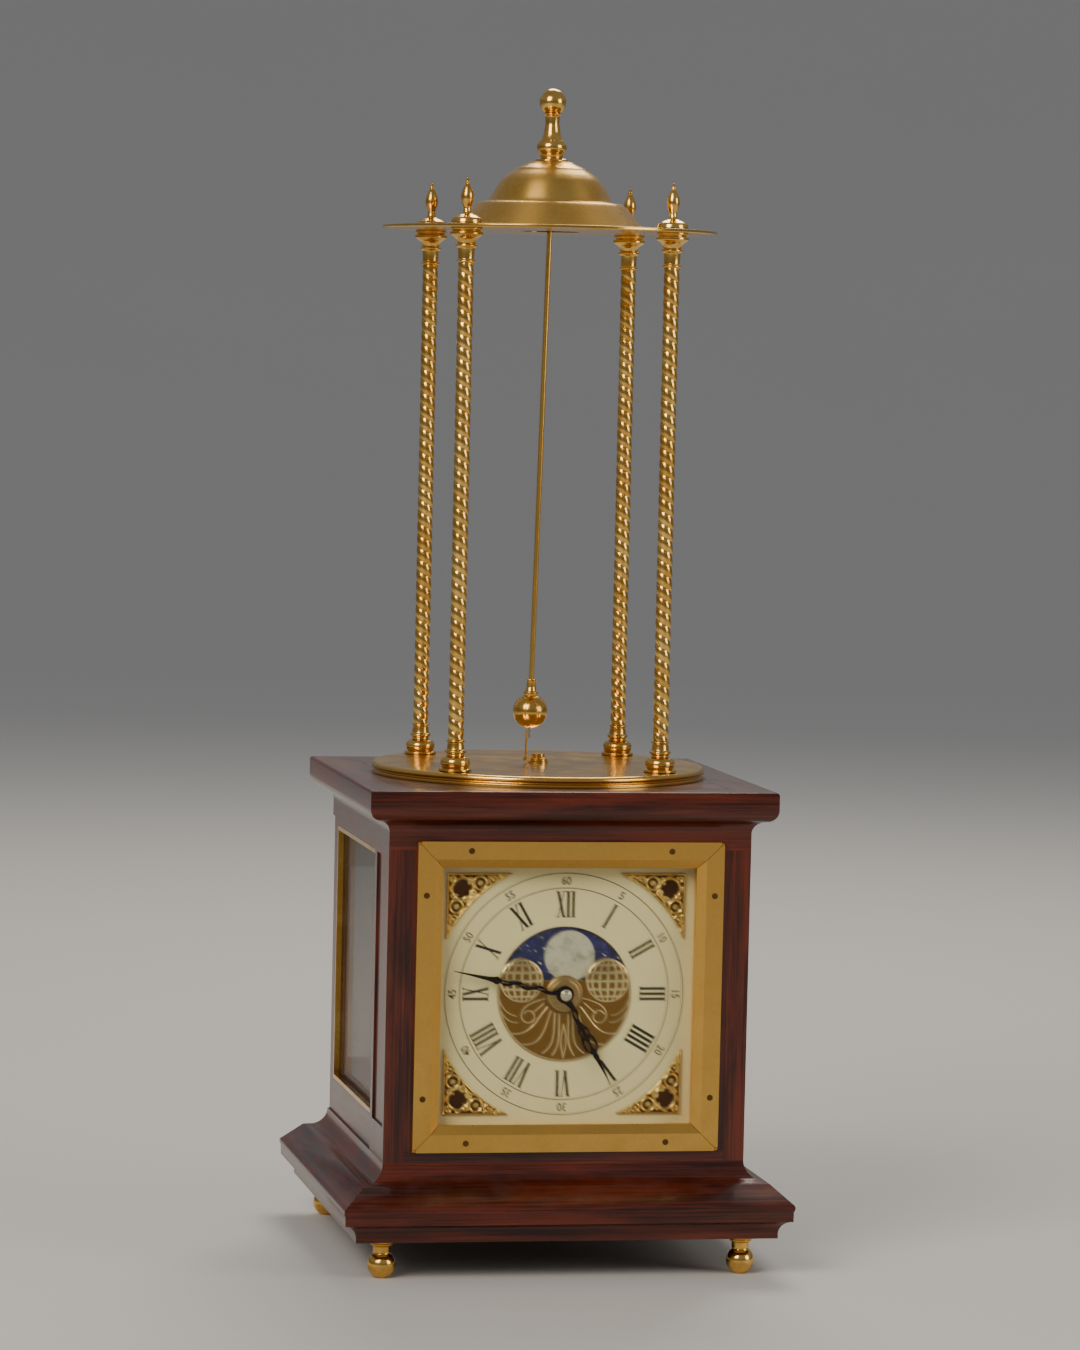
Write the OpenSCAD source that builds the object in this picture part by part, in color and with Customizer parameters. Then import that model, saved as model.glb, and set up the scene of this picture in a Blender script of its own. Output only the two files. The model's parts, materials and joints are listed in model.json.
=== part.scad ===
// Conical pendulum clock: a square mahogany case with a moon dial, and above it
// an open brass stage on four twisted columns, in which the pendulum goes round.
// Millimetres, +Z up, front towards -Y, origin at the middle of the feet's rest plane.

/* [Case] */
// Height of each turned foot
foot_h = 22.5; // [16:0.5:30]
// Diameter of the ball of a foot
foot_ball_d = 16; // [12:0.5:18]
// Width and depth of the case walls
body_w = 207; // [204:1:230]
// Height of the case walls
body_h = 176; // [174:1:200]
// Thickness of the case walls
wall_t = 12; // [10:0.5:14]
// Height of the plinth moulding
plinth_h = 42; // [38:1:50]
// How far the plinth stands out past the walls
plinth_spread = 25; // [20:1:32]
// Height of the cornice moulding
cornice_h = 34; // [30:1:42]
// How far the cornice stands out past the walls
cornice_spread = 12.8; // [10:0.2:18]
// Thickness of the boards inside plinth and cornice
board_t = 12; // [10:0.5:14]
// Depth of the front corner posts, seen from the side
post_d = 48; // [42:0.5:50]
// Height of the wood below each side glass
sill_h = 19.5; // [15:0.5:26]
// Height of the wood above each side glass
head_h = 5; // [4:0.5:10]

/* [Dial] */
// How much smaller the square bezel is than the walls are high
bezel_gap = 1; // [0.5:0.5:4]
// Width of the bezel's frame, from its outer edge to the dial
bezel_rim = 15; // [14:0.5:16]
// How far the bezel stands proud of the wood
bezel_proud = 3.5; // [2.5:0.25:5]
// Rise of the dial centre above the middle of the walls
dial_rise = 5.5; // [3:0.25:6]
// Depth of the dial behind the front of the wood
dial_depth = 11.5; // [11:0.25:12]
// Diameter of the round centre of the dial
centre_d = 76.6; // [74:0.2:78]
// Diameter of the two globes that hide the moon
globe_d = 25.2; // [23:0.2:25.6]
// Length of the minute hand, as a share of half the dial
minute_reach = 0.91; // [0.8:0.01:0.93]
// Length of the hour hand, as a share of half the dial
hour_reach = 0.76; // [0.64:0.01:0.78]

/* [Movement] */
// Width of the movement plates
plate_w = 104; // [100:1:120]
// Thickness of the movement plates
plate_t = 2.5; // [2:0.1:3]
// Distance between the movement plates
plate_gap = 50; // [48:0.5:51]
// Radius of the arbors
arbor_r = 1.2; // [1:0.05:1.4]
// Radius of the vertical arbor that drives the pendulum
drive_r = 1.5; // [1.3:0.05:1.8]

/* [Pendulum stage] */
// Radius of the two round plates
disc_r = 96.3; // [94:0.1:104]
// Thickness of the moulded lower plate
disc_t = 6.5; // [5:0.25:9]
// Thickness of the upper plate
top_t = 2; // [1.5:0.25:3]
// Height of the middle of the pendulum ball above the lower plate
ball_h = 30; // [28:0.5:40]
// Distance of each column from the middle, along X and along Y
column_xy = 59.3; // [57:0.1:60]
// Diameter of the twisted column shafts
shaft_d = 9; // [7.5:0.25:10]
// Height of the turned column base
col_base_h = 18; // [16:0.5:22]
// Height of the turned column capital
col_cap_h = 20; // [18:0.5:24]
// Radius of the dome at its foot
dome_r = 54; // [50:0.5:58]
// Height of the dome
dome_h = 38; // [35:0.5:44]
// Wall thickness of the dome
dome_t = 1.2; // [1:0.1:1.6]
// Height of the finial on the dome
finial_h = 42; // [36:0.5:48]
// Height of a finial on a column
small_finial_h = 27; // [22:0.5:32]

/* [Pendulum] */
// Drop of the pendulum's pivot below the top of the dome
pivot_drop = 28; // [27:0.5:29]
// Length from the pivot to the middle of the ball
pend_l = 289; // [270:1:290]
// Diameter of the pendulum ball
bob_d = 20; // [16:0.5:22]
// Diameter of the pendulum rod
rod_d = 3; // [2.5:0.1:3.5]
// Lean of the pendulum towards the crank, in degrees
lean = 1.06; // [0.8:0.02:1.3]

/* [Fits] */
// Radial clearance of a shaft that turns in a hole
run = 0.05; // [0.03:0.01:0.08]
// Gap beside a piece that is dropped into a recess
seat = 0.2; // [0.1:0.05:0.3]
// Least gap between two pieces that move past each other
pass = 0.4; // [0.3:0.05:0.5]

/* [Hidden] */
$fn = 48;
tiny = 0.01;
side = [-1, 1];
body_r = body_w / 2;
plinth_z = foot_h;
body_z = plinth_z + plinth_h;
cornice_z = body_z + body_h;
cornice_top = cornice_z + cornice_h;
disc_z = cornice_top + disc_t;
stage_h = ball_h + pend_l + pivot_drop - top_t - dome_h;
top_z = disc_z + stage_h;
dome_z = top_z + top_t;
crown_z = dome_z + dome_h;
pivot_z = crown_z - pivot_drop;
inner_r = body_r - wall_t;
bezel_w = body_h - bezel_gap;
bezel_open = bezel_w - 2 * bezel_rim;
minute_l = minute_reach * bezel_open / 2;
hour_l = hour_reach * bezel_open / 2;
dial_z = body_z + body_h / 2 + dial_rise;
front_y = -body_r;
bezel_y = front_y - bezel_proud;
dial_y = front_y + dial_depth;
dial_t = 1.5;
dial_back = dial_y + dial_t;
ledge = 3.5;
lip = 3;

// Points along an arc, from angle a to angle b
function arc(c, r, a, b, n = 8) = [for (i = [0:n])
    let (t = a + (b - a) * i / n) c + r * [cos(t), sin(t)]];
// The same points on both sides of the second axis, closed
function both(p) = concat(p, [for (i = [len(p) - 1:-1:0]) [-p[i][0], p[i][1]]]);
// Where two circles meet, on the left of the way from a to b
function meet(a, ra, b, rb) =
    let (d = norm(b - a), u = (b - a) / d, s = (ra * ra - rb * rb + d * d) / (2 * d))
    a + s * u + sqrt(ra * ra - s * s) * [-u[1], u[0]];

// A solid whose width in X and in Y follows one profile of half width and height
module mitred(profile, reach) {
    intersection() {
        rotate([90, 0, 0]) linear_extrude(2 * reach, center = true) polygon(both(profile));
        rotate([90, 0, 90]) linear_extrude(2 * reach, center = true) polygon(both(profile));
    }
}
// A square block on the z axis
module block(half, z0, z1) {
    translate([-half, -half, z0]) cube([2 * half, 2 * half, z1 - z0]);
}
// Puts children that are drawn upwards so that they run towards the back, from y
module along_y(p, y) {
    translate([p[0], y, p[1]]) rotate([-90, 0, 0]) children();
}
module tube(r_out, r_in, h) {
    difference() {
        cylinder(r = r_out, h = h);
        translate([0, 0, -1]) cylinder(r = r_in, h = h + 2);
    }
}

/* Wood */
// Half widths and heights of the plinth, from its foot to the walls
nose_r = body_r + plinth_spread;
nose_z = 0.42 * plinth_h;
foot_in = 8;
cove_r = 0.27 * plinth_h;
plinth_profile = concat(
    [[nose_r - foot_in, 0]],
    arc([nose_r, 0.06 * plinth_h], foot_in, 180, 96, 5),
    arc([nose_r - 3, nose_z + 0.5], 3, -40, 60, 5),
    [[body_r + cove_r + 1.5, plinth_h - cove_r - 0.5]],
    arc([body_r + cove_r, plinth_h], cove_r, 270, 180, 6));
module plinth() {
    color("#4a1d10") difference() {
        translate([0, 0, plinth_z]) mitred(plinth_profile, nose_r);
        block(inner_r - ledge, plinth_z - 1, body_z + 1);
        block(inner_r + seat, body_z - board_t, body_z + 1);
        for (x = side, y = side) translate([x * foot_xy, y * foot_xy, plinth_z - 1])
            cylinder(r = foot_stud_r + run, h = foot_stud_h + 1.3);
    }
}
module bottom_board() {
    color("#5a3320") block(inner_r, body_z - board_t, body_z);
}

// Front of the case, with the two corner posts that run back from it
front_t = wall_t + 2;
step_in = 1.2;
flute_in = 1.2;
flute_w = 0.75 * post_d;
skirt_w = 3;
hole_r = bezel_open / 2 + skirt_w + seat;
glass_z0 = body_z + sill_h;
glass_z1 = cornice_z - head_h;
post_y = front_y + post_d;
module case_front() {
    color("#4a1d10") difference() {
        translate([-body_r, front_y, body_z]) cube([body_w, post_d, body_h]);
        translate([-inner_r, front_y + front_t, body_z - 1]) cube([2 * inner_r, post_d, body_h + 2]);
        translate([-hole_r, front_y - 1, dial_z - hole_r]) cube([2 * hole_r, front_t + 2, 2 * hole_r]);
        for (s = side) translate([s * body_r, front_y + post_d / 2 - 1, (glass_z0 + glass_z1) / 2])
            cube([2 * flute_in, flute_w, glass_z1 - glass_z0], center = true);
        for (p = screw_spots) along_y([p[0], dial_z + p[1]], front_y - 1)
            cylinder(r = screw_r + run, h = screw_l + 1.3, $fn = 24);
    }
}

// One side of the case: a frame with a rebate for its glass
side_y0 = post_y;
side_x = body_r - step_in;
win_y0 = side_y0 + 3.5;
win_y1 = body_r - 11.5;
glass_t = 2;
bead_t = 3.2;
bead_w = 2.5;
rebate_x = side_x - bead_t - glass_t;
module side_frame(s) {
    mirror([s < 0 ? 1 : 0, 0, 0]) difference() {
        translate([inner_r, side_y0, body_z]) cube([side_x - inner_r, body_r - side_y0, body_h]);
        translate([inner_r - 1, win_y0 + lip, glass_z0 + lip])
            cube([wall_t + 2, win_y1 - win_y0 - 2 * lip, glass_z1 - glass_z0 - 2 * lip]);
        translate([rebate_x, win_y0, glass_z0])
            cube([wall_t, win_y1 - win_y0, glass_z1 - glass_z0]);
    }
}
module case_left() {
    color("#4a1d10") side_frame(-1);
}
module case_right() {
    color("#4a1d10") side_frame(1);
}
module side_pane(s) {
    mirror([s < 0 ? 1 : 0, 0, 0]) translate([rebate_x, win_y0 + seat, glass_z0 + seat])
        cube([glass_t, win_y1 - win_y0 - 2 * seat, glass_z1 - glass_z0 - 2 * seat]);
}
module side_glasses() {
    color("#c8dce0", 0.4) for (s = side) side_pane(s);
}
module bead_frame(s) {
    y1 = win_y1 - seat;
    z1 = glass_z1 - seat;
    y0 = win_y0 + seat;
    z0 = glass_z0 + seat;
    mirror([s < 0 ? 1 : 0, 0, 0]) difference() {
        translate([rebate_x + glass_t, y0, z0]) cube([bead_t, y1 - y0, z1 - z0]);
        translate([rebate_x, y0 + bead_w, z0 + bead_w])
            cube([wall_t, y1 - y0 - 2 * bead_w, z1 - z0 - 2 * bead_w]);
    }
}
module side_beads() {
    color("#d8a848") for (s = side) bead_frame(s);
}

// Rear frame between the sides, and the glazed door hung in it
door_gap = 0.6;
door_t = wall_t - 2;
stile = 18;
rail = 12;
back_y0 = body_r - wall_t;
hole_x = inner_r - 13.5;
hole_z0 = body_z + 12;
hole_z1 = cornice_z - 12;
door_x = hole_x - door_gap;
door_z0 = hole_z0 + door_gap;
door_z1 = hole_z1 - door_gap;
door_y0 = body_r - door_t;
door_zm = (door_z0 + door_z1) / 2;
pane_x = door_x - stile + lip;
pane_z0 = door_z0 + stile - lip;
pane_z1 = door_z1 - stile + lip;
pane_y = door_y0 + 3;
module case_back() {
    color("#4a1d10") difference() {
        translate([-inner_r, back_y0, body_z]) cube([2 * inner_r, wall_t, body_h]);
        translate([-hole_x, back_y0 - 1, hole_z0]) cube([2 * hole_x, wall_t + 2, hole_z1 - hole_z0]);
    }
}
module back_door() {
    color("#4a1d10") difference() {
        translate([-door_x, door_y0, door_z0]) cube([2 * door_x, door_t, door_z1 - door_z0]);
        translate([-door_x + stile, door_y0 - 1, door_z0 + stile])
            cube([2 * (door_x - stile), door_t + 2, door_z1 - door_z0 - 2 * stile]);
        translate([-pane_x, door_y0 - 1, pane_z0])
            cube([2 * pane_x, pane_y + glass_t - door_y0 + 1, pane_z1 - pane_z0]);
        along_y([knob_x, door_zm], door_y0 - 1) cylinder(r = knob_pin_r + run, h = door_t + 2, $fn = 24);
    }
}
module door_glass() {
    color("#c8dce0", 0.4) translate([-pane_x + seat, pane_y, pane_z0 + seat])
        cube([2 * (pane_x - seat), glass_t, pane_z1 - pane_z0 - 2 * seat]);
}

// Brass butt hinges on the back, and the turning catch
hinge_r = 2.2;
hinge_pin_r = 1;
leaf_t = 1.2;
leaf_w = 9;
hinge_h = 24;
knuckle_h = hinge_h / 3;
hinge_x = hole_x - door_gap / 2;
hinge_y = body_r + hinge_r + pass;
hinge_zs = [door_z0 + 30, door_z1 - 30];
module knuckle(z0, h) {
    translate([hinge_x, hinge_y, z0]) tube(hinge_r, hinge_pin_r + run, h);
}
module leaf(dir, z0, h) {
    difference() {
        translate([hinge_x + (dir < 0 ? -leaf_w : 0), body_r, z0]) cube([leaf_w, leaf_t, h]);
        translate([hinge_x, hinge_y, z0 - 1]) cylinder(r = hinge_r + pass, h = h + 2);
    }
    translate([hinge_x + (dir < 0 ? -hinge_r : 0.4), body_r, z0])
        cube([hinge_r - 0.4, hinge_r + pass, h]);
}
module case_hinges() {
    color("#d8a848") for (zc = hinge_zs) {
        z0 = zc - hinge_h / 2;
        difference() {
            union() {
                for (i = [0, 2]) {
                    leaf(1, z0 + i * knuckle_h, knuckle_h);
                    knuckle(z0 + i * knuckle_h, knuckle_h);
                }
                translate([hinge_x + hinge_r + pass, body_r, z0])
                    cube([leaf_w - hinge_r - pass, leaf_t, hinge_h]);
            }
            translate([hinge_x, hinge_y, z0 - 1]) cylinder(r = hinge_pin_r + run, h = hinge_h + 2);
        }
    }
}
module hinge_pins() {
    color("#e8c878") for (zc = hinge_zs) translate([hinge_x, hinge_y, zc - hinge_h / 2 - 1]) {
        cylinder(r = hinge_pin_r, h = hinge_h + 2);
        cylinder(r = 1.6, h = 1 - tiny);
        translate([0, 0, hinge_h + 1 + tiny]) cylinder(r = 1.6, h = 1);
    }
}
module door_hinges() {
    color("#d8a848") for (zc = hinge_zs) {
        z0 = zc - knuckle_h / 2 + pass;
        h = knuckle_h - 2 * pass;
        difference() {
            union() {
                leaf(-1, z0, h);
                knuckle(z0, h);
                translate([hinge_x - leaf_w, body_r, zc - hinge_h / 2])
                    cube([leaf_w - hinge_r - pass, leaf_t, hinge_h]);
            }
            translate([hinge_x, hinge_y, z0 - 1]) cylinder(r = hinge_pin_r + run, h = h + 2);
        }
    }
}
knob_x = -door_x + stile / 2;
knob_pin_r = 2;
tongue_t = 2.4;
tongue_y = back_y0 - pass - tongue_t;
knob_profile = concat([[0, 0], [3.2, 0], [2.6, 1.5], [2.2, 3]],
    arc([0, 8.5], 4.8, -60, 60, 8), [[0, 13.3]]);
module door_knob() {
    color("#d8a848") {
        along_y([knob_x, door_zm], body_r) rotate_extrude() polygon(knob_profile);
        along_y([knob_x, door_zm], tongue_y) cylinder(r = knob_pin_r, h = body_r - tongue_y + tiny);
        translate([knob_x - 3.5, tongue_y, door_zm - 18]) cube([7, tongue_t, 22]);
    }
}

// Cornice moulding and the board let into it
fascia_h = 0.3 * cornice_h;
corn_r = body_r + cornice_spread;
ogee_r = cornice_spread * 0.55;
ogee_z = cornice_h - fascia_h;
cornice_profile = concat(
    [[body_r, 0], [body_r, 1]],
    arc([body_r + ogee_r, ogee_z - 2 * ogee_r], ogee_r, 180, 110, 5),
    arc([corn_r - ogee_r, ogee_z], ogee_r, -70, 0, 5),
    arc([corn_r - 1.8, cornice_h - 1.8], 1.8, 0, 90, 5));
module cornice() {
    color("#4a1d10") difference() {
        translate([0, 0, cornice_z]) mitred(cornice_profile, corn_r);
        block(inner_r - ledge, cornice_z - 1, cornice_top + 1);
        block(inner_r + seat, cornice_top - board_t, cornice_top + 1);
        for (p = screw_spots) if (p[1] > 0) along_y([p[0], dial_z + p[1]], front_y - 1)
            cylinder(r = screw_r + run, h = screw_l + 1.3, $fn = 24);
    }
}
module top_board() {
    color("#4a1d10") difference() {
        block(inner_r, cornice_top - board_t, cornice_top);
        translate([0, 0, cornice_top - board_t - 1]) cylinder(r = bush_r + run, h = board_t + 2);
        for (x = side, y = side) translate([x * column_xy, y * column_xy, cornice_top - board_t - 1])
            cylinder(r = stud_r + run, h = board_t + 2, $fn = 24);
    }
}

/* Brass case fittings */
foot_stud_r = 3;
foot_stud_h = 10;
foot_xy = body_r - 0.5;
foot_ball_z = foot_ball_d / 2 - 0.6;
foot_flange = 2;
foot_profile = concat([[0, 0], [3.6, 0], [3.6, 0.6]],
    arc([0, foot_ball_z], foot_ball_d / 2, -58, 50, 12),
    [[5.2, foot_ball_z + foot_ball_d / 2 - 1.5], [5.2, foot_h - foot_flange - 2.4],
     [6.4, foot_h - foot_flange - 1.6], [5.8, foot_h - foot_flange], [9.5, foot_h - foot_flange],
     [9.5, foot_h], [foot_stud_r, foot_h], [foot_stud_r, foot_h + foot_stud_h],
     [0, foot_h + foot_stud_h]]);
module feet() {
    color("#e0b050") for (x = side, y = side) translate([x * foot_xy, y * foot_xy, 0])
        rotate_extrude() polygon(foot_profile);
}

// Square bezel: flat outer frame, raised edge, and a bevel down to the dial
flat_w = 9.5;
edge_w = 1.6;
edge_h = 0.6;
screw_r = 1.1;
screw_l = 8;
screw_head_r = 1.7;
screw_in = 5.2;
screw_off = 0.327 * bezel_w;
screw_line = bezel_w / 2 - screw_in;
screw_spots = [for (a = side, b = side, k = [0, 1])
    k == 0 ? [a * screw_off, b * screw_line] : [a * screw_line, b * screw_off]];
module facing(z) {
    translate([0, 0, z]) rotate([90, 0, 0]) children();
}
lip_back = front_y + 1.1;
rebate_w = 1.5;
module bezel() {
    r = bezel_w / 2;
    o = bezel_open / 2;
    flat_in = r - flat_w - 0.5;
    out_profile = [[0, -dial_y], [o + skirt_w - seat / 2, -dial_y], [o + skirt_w - seat / 2, -front_y],
        [r, -front_y], [r, -bezel_y], [r - 0.5, -bezel_y + edge_h], [r - edge_w, -bezel_y + edge_h],
        [r - edge_w - 0.5, -bezel_y], [0, -bezel_y]];
    in_profile = [[0, -dial_y - 1], [o + rebate_w, -dial_y - 1], [o + rebate_w, -lip_back], [o, -lip_back],
        [o, -lip_back + 0.8], [flat_in, -bezel_y], [flat_in, -bezel_y + 1], [0, -bezel_y + 1]];
    color("#d8a848") difference() {
        facing(dial_z) mitred(out_profile, r);
        facing(dial_z) mitred(in_profile, r);
        for (p = screw_spots) along_y([p[0], dial_z + p[1]], bezel_y - 1) {
            cylinder(r = screw_r + run, h = 8, $fn = 24);
            cylinder(r = screw_head_r + run, h = 2.2, $fn = 24);
        }
    }
}
module dial_glass() {
    half = bezel_open / 2 + rebate_w - seat;
    color("#c8dce0", 0.4) translate([-half, lip_back, dial_z - half]) cube([2 * half, glass_t, 2 * half]);
}
module bezel_screws() {
    color("#5a4020") for (p = screw_spots) along_y([p[0], dial_z + p[1]], bezel_y - 0.2)
        difference() {
            union() {
                cylinder(r = screw_head_r, h = 1.4, $fn = 24);
                cylinder(r = screw_r, h = screw_l + bezel_proud, $fn = 24);
            }
            translate([-2, -0.25, -1]) cube([4, 0.5, 1.5]);
        }
}

/* Dial */
// Everything here is drawn flat, seen from the front, and then stood up
module stand(y, h) {
    translate([0, y, dial_z]) rotate([90, 0, 0]) linear_extrude(h) children();
}
globe_r = globe_d / 2;
globe_x = centre_d / 2 - globe_r - 1;
globe_z = 7.6;
boss_r = 10.6;
foot_at = 44;
dial_half = bezel_open / 2 + skirt_w - seat / 2;
module sky_window() {
    difference() {
        circle(d = centre_d);
        translate([-centre_d, -2 * centre_d + globe_z]) square([2 * centre_d, 2 * centre_d]);
        for (s = side) translate([s * globe_x, globe_z]) circle(r = globe_r);
        circle(r = boss_r);
    }
}
module dial_plate() {
    color("#efe3c0") {
        stand(dial_back, dial_t) difference() {
            square(2 * dial_half, center = true);
            sky_window();
            circle(r = pipe_r[3] + 0.3);
        }
        for (x = side, z = side) along_y([x * foot_at, dial_z + z * foot_at], dial_back - tiny)
            cylinder(r = 2.5, h = front_plate_y - dial_back + tiny);
    }
}
module centre_plate() {
    color("#b5803a") {
        stand(dial_y, 0.8) difference() {
            circle(d = centre_d);
            sky_window();
            circle(r = pipe_r[2] + 0.4);
        }
        for (s = side) translate([s * globe_x, dial_y - 0.8 + tiny, dial_z + globe_z])
            rotate([90, 0, 0]) rotate_extrude()
                polygon(concat([[0, 0]], arc([0, -dome_drop], globe_arc, globe_a0, 90, 6)));
        along_y([0, dial_z], dial_y - boss_h) difference() {
            rotate_extrude() polygon([[0, 0], [boss_r - 1.5, 0], [boss_r, 1], [boss_r, boss_h - 0.8 + tiny],
                [0, boss_h - 0.8 + tiny]]);
            translate([0, 0, -1]) cylinder(r = pipe_r[2] + 0.4, h = boss_h + 2);
        }
    }
}
boss_h = 2.6;
globe_rise = 1.8;
dome_drop = (globe_r * globe_r - globe_rise * globe_rise) / (2 * globe_rise);
globe_arc = dome_drop + globe_rise;
globe_a0 = acos((globe_r - 0.05) / globe_arc);

// Cast corner piece: relief scrolls round a boss, on a thin ground
corner_leg = 37;
corner_at = bezel_open / 2 - 4;
corner_rim = 1.3;
corner_ring = corner_at * 1.09;
module corner_ground(rim) {
    difference() {
        translate([corner_at - corner_leg, corner_at - corner_leg]) square(corner_leg - rim);
        circle(r = corner_ring + rim, $fn = 96);
    }
}
module scroll(x, z, r, w, eye) {
    translate([corner_at - x, corner_at - z]) {
        difference() {
            circle(r = r, $fn = 28);
            circle(r = r - w, $fn = 28);
        }
        circle(r = eye, $fn = 20);
    }
}
module corner_relief() {
    difference() {
        corner_ground(0);
        corner_ground(corner_rim);
    }
    scroll(9, 9, 7.2, 1.5, 4.4);
    for (k = [0, 1]) mirror([k, -k]) {
        scroll(19, 5.6, 4.4, 1.2, 1.5);
        scroll(26.5, 3.8, 2.9, 1, 1);
        scroll(32, 2.4, 1.7, 0.9, 0.1);
        scroll(3.2, 3.2, 1.8, 0.9, 0.1);
        scroll(14.6, 11, 1.9, 1, 0.1);
    }
}
module spandrels() {
    color("#c8963c") for (x = side, z = side) translate([0, dial_y, dial_z]) rotate([90, 0, 0])
        mirror([x < 0 ? 1 : 0, 0]) mirror([0, z < 0 ? 1 : 0]) {
            linear_extrude(0.7) corner_ground(0);
            linear_extrude(1.5) intersection() {
                corner_relief();
                corner_ground(0);
            }
        }
}

// Moon disc: the painted disc with the toothed wheel behind it, on one pipe
moon_y = dial_back + pass;
moon_t = 0.8;
moon_r = centre_d / 2 - 0.8;
pipe_r = [arbor_r, arbor_r + run + 0.65, arbor_r + 2 * run + 1.3, arbor_r + 3 * run + 2.3];
idler_d = 33;
moon_teeth = [10, 59, 6, 120];
motion_teeth = [12, 36, 10, 40];
gear_t = 1;
moon_wheel_y = moon_y + moon_t + 0.4;
idler_y = moon_wheel_y + gear_t + pass;
hour_wheel_y = idler_y + gear_t + pass;
minute_wheel_y = hour_wheel_y + gear_t + pass;
front_plate_y = minute_wheel_y + gear_t + 0.8;
back_plate_y = front_plate_y + plate_t + plate_gap;
module moon_disc() {
    color("#26305c") {
        along_y([0, dial_z], moon_y) tube(moon_r, pipe_r[2] + run, moon_t);
        along_y([0, dial_z], moon_y + moon_t - tiny) tube(pipe_r[3] + 2, pipe_r[2] + run, 0.5);
        along_y([0, dial_z], moon_wheel_y) gear(moon_teeth[3], moon_m, gear_t,
            pipe_r[2] + run, way(centre_at, idler_stud) + 180 / moon_teeth[3]);
    }
}

/* Hands */
// Half width of a hand along its length: a waved blade, then a needle
function hand_w(t, w) = t < 0.58 ? w * (0.5 + 0.5 * sin(t * 310)) + 0.9 : 0.9 - 0.75 * (t - 0.58) / 0.42;
function hand_wave(t, w) = t < 0.58 ? w * 0.4 * sin(t * 620) : 0;
module hand_blade(l, w, root) {
    n = 30;
    t0 = root / l;
    polygon(concat(
        [for (i = [0:n]) let (t = t0 + (1 - t0) * i / n) [hand_wave(t, w) + hand_w(t, w), t * l]],
        [for (i = [n:-1:0]) let (t = t0 + (1 - t0) * i / n) [hand_wave(t, w) - hand_w(t, w), t * l]]));
}
module hand(l, w, hub_r, bore_r) {
    difference() {
        union() {
            hand_blade(l, w, (hub_r + bore_r) / 2);
            circle(r = hub_r);
        }
        circle(r = bore_r);
        for (t = [0.17, 0.29, 0.42]) translate([hand_wave(t, w), t * l])
            circle(r = max(hand_w(t, w) - 0.9, 0.3), $fn = 16);
    }
}
hand_t = 0.8;
hour_y = dial_y - boss_h - pass;
minute_y = hour_y - hand_t - 1;
nut_h = 1.8;
pipe_y = minute_y - hand_t - nut_h + 1;
hour_at = 152;
minute_at = 282;
module hour_hand() {
    color("#1c1410") stand(hour_y, hand_t) rotate(-hour_at) hand(hour_l, 2.9, 5, pipe_r[2] + seat / 4);
}
module minute_hand() {
    color("#1c1410") stand(minute_y, hand_t) rotate(-minute_at)
        hand(minute_l, 2.3, 4.4, pipe_r[1] + seat / 4);
}
module hand_nut() {
    color("#d9cba8") along_y([0, dial_z], minute_y - hand_t - nut_h) difference() {
        rotate_extrude() polygon([[0, 0], [1.6, 0], [2.8, 0.4], [3.4, 1.1], [3.4, nut_h], [0, nut_h]]);
        translate([0, 0, 1]) cylinder(r = pipe_r[1] + run, h = 2);
    }
}

/* Gears */
// One toothed outline; teeth are a named share of the pitch, so pairs run free
function tooth_pts(n, m, k, phase) =
    let (p = 360 / n, pr = n * m / 2, slim = n < 16 ? 0.17 : 0.2, up = n < 16 ? 0.7 : 0.85)
    [for (i = [-1, 1], e = [0, 1])
        let (out = i < 0 ? e : 1 - e, r = out > 0 ? pr + up * m : pr - 1.25 * m,
             a = phase + k * p + i * p * (out > 0 ? slim * 0.45 : slim * 1.35))
        r * [cos(a), sin(a)]];
function gear_pts(n, m, phase) = [for (k = [0:n - 1], q = tooth_pts(n, m, k, phase)) q];
module gear(n, m, t, bore, phase) {
    difference() {
        linear_extrude(t) polygon(gear_pts(n, m, phase));
        translate([0, 0, -1]) cylinder(r = bore, h = t + 2);
    }
}
// A wheel with crossed-out windows between five arms
module wheel(n, m, t, bore, phase) {
    rim = n * m / 2 - 3.2 * m - 0.6;
    hub = max(bore + 2.4, rim * 0.24);
    difference() {
        gear(n, m, t, bore, phase);
        for (k = [0:4]) rotate(k * 72) translate([0, 0, -1]) linear_extrude(t + 2) polygon(concat(
            arc([0, 0], rim, 7, 65, 8), arc([0, 0], hub, 50, 22, 3)));
    }
}

// Places of the arbors on the plates, as x and z
great_at = [0, dial_z - 40];
centre_at = [0, dial_z];
centre_m = 0.6;
third_m = 0.5;
great_teeth = [90, 10];
centre_teeth = [84, 8];
third_teeth = [80, 8];
fourth_teeth = [72, 8];
crown_teeth = [36, 10];
centre_run = centre_m * (centre_teeth[0] + centre_teeth[1]) / 2;
third_run = third_m * (third_teeth[0] + third_teeth[1]) / 2;
fourth_run = third_m * (fourth_teeth[0] + fourth_teeth[1]) / 2;
third_at = centre_at + centre_run * [cos(30), sin(30)];
crown_at = centre_at + [0, 42];
fourth_at = meet(crown_at, fourth_run, third_at, third_run);
great_m = 2 * norm(centre_at - great_at) / (great_teeth[0] + great_teeth[1]);
minute_stud = centre_at + [-13, 0];
idler_stud = centre_at + [0, -idler_d];
minute_m = 2 * 13 / (motion_teeth[0] + motion_teeth[1]);
hour_m = 2 * 13 / (motion_teeth[2] + motion_teeth[3]);
hour_moon_m = 2 * idler_d / (moon_teeth[0] + moon_teeth[1]);
moon_m = 2 * idler_d / (moon_teeth[2] + moon_teeth[3]);

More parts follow.
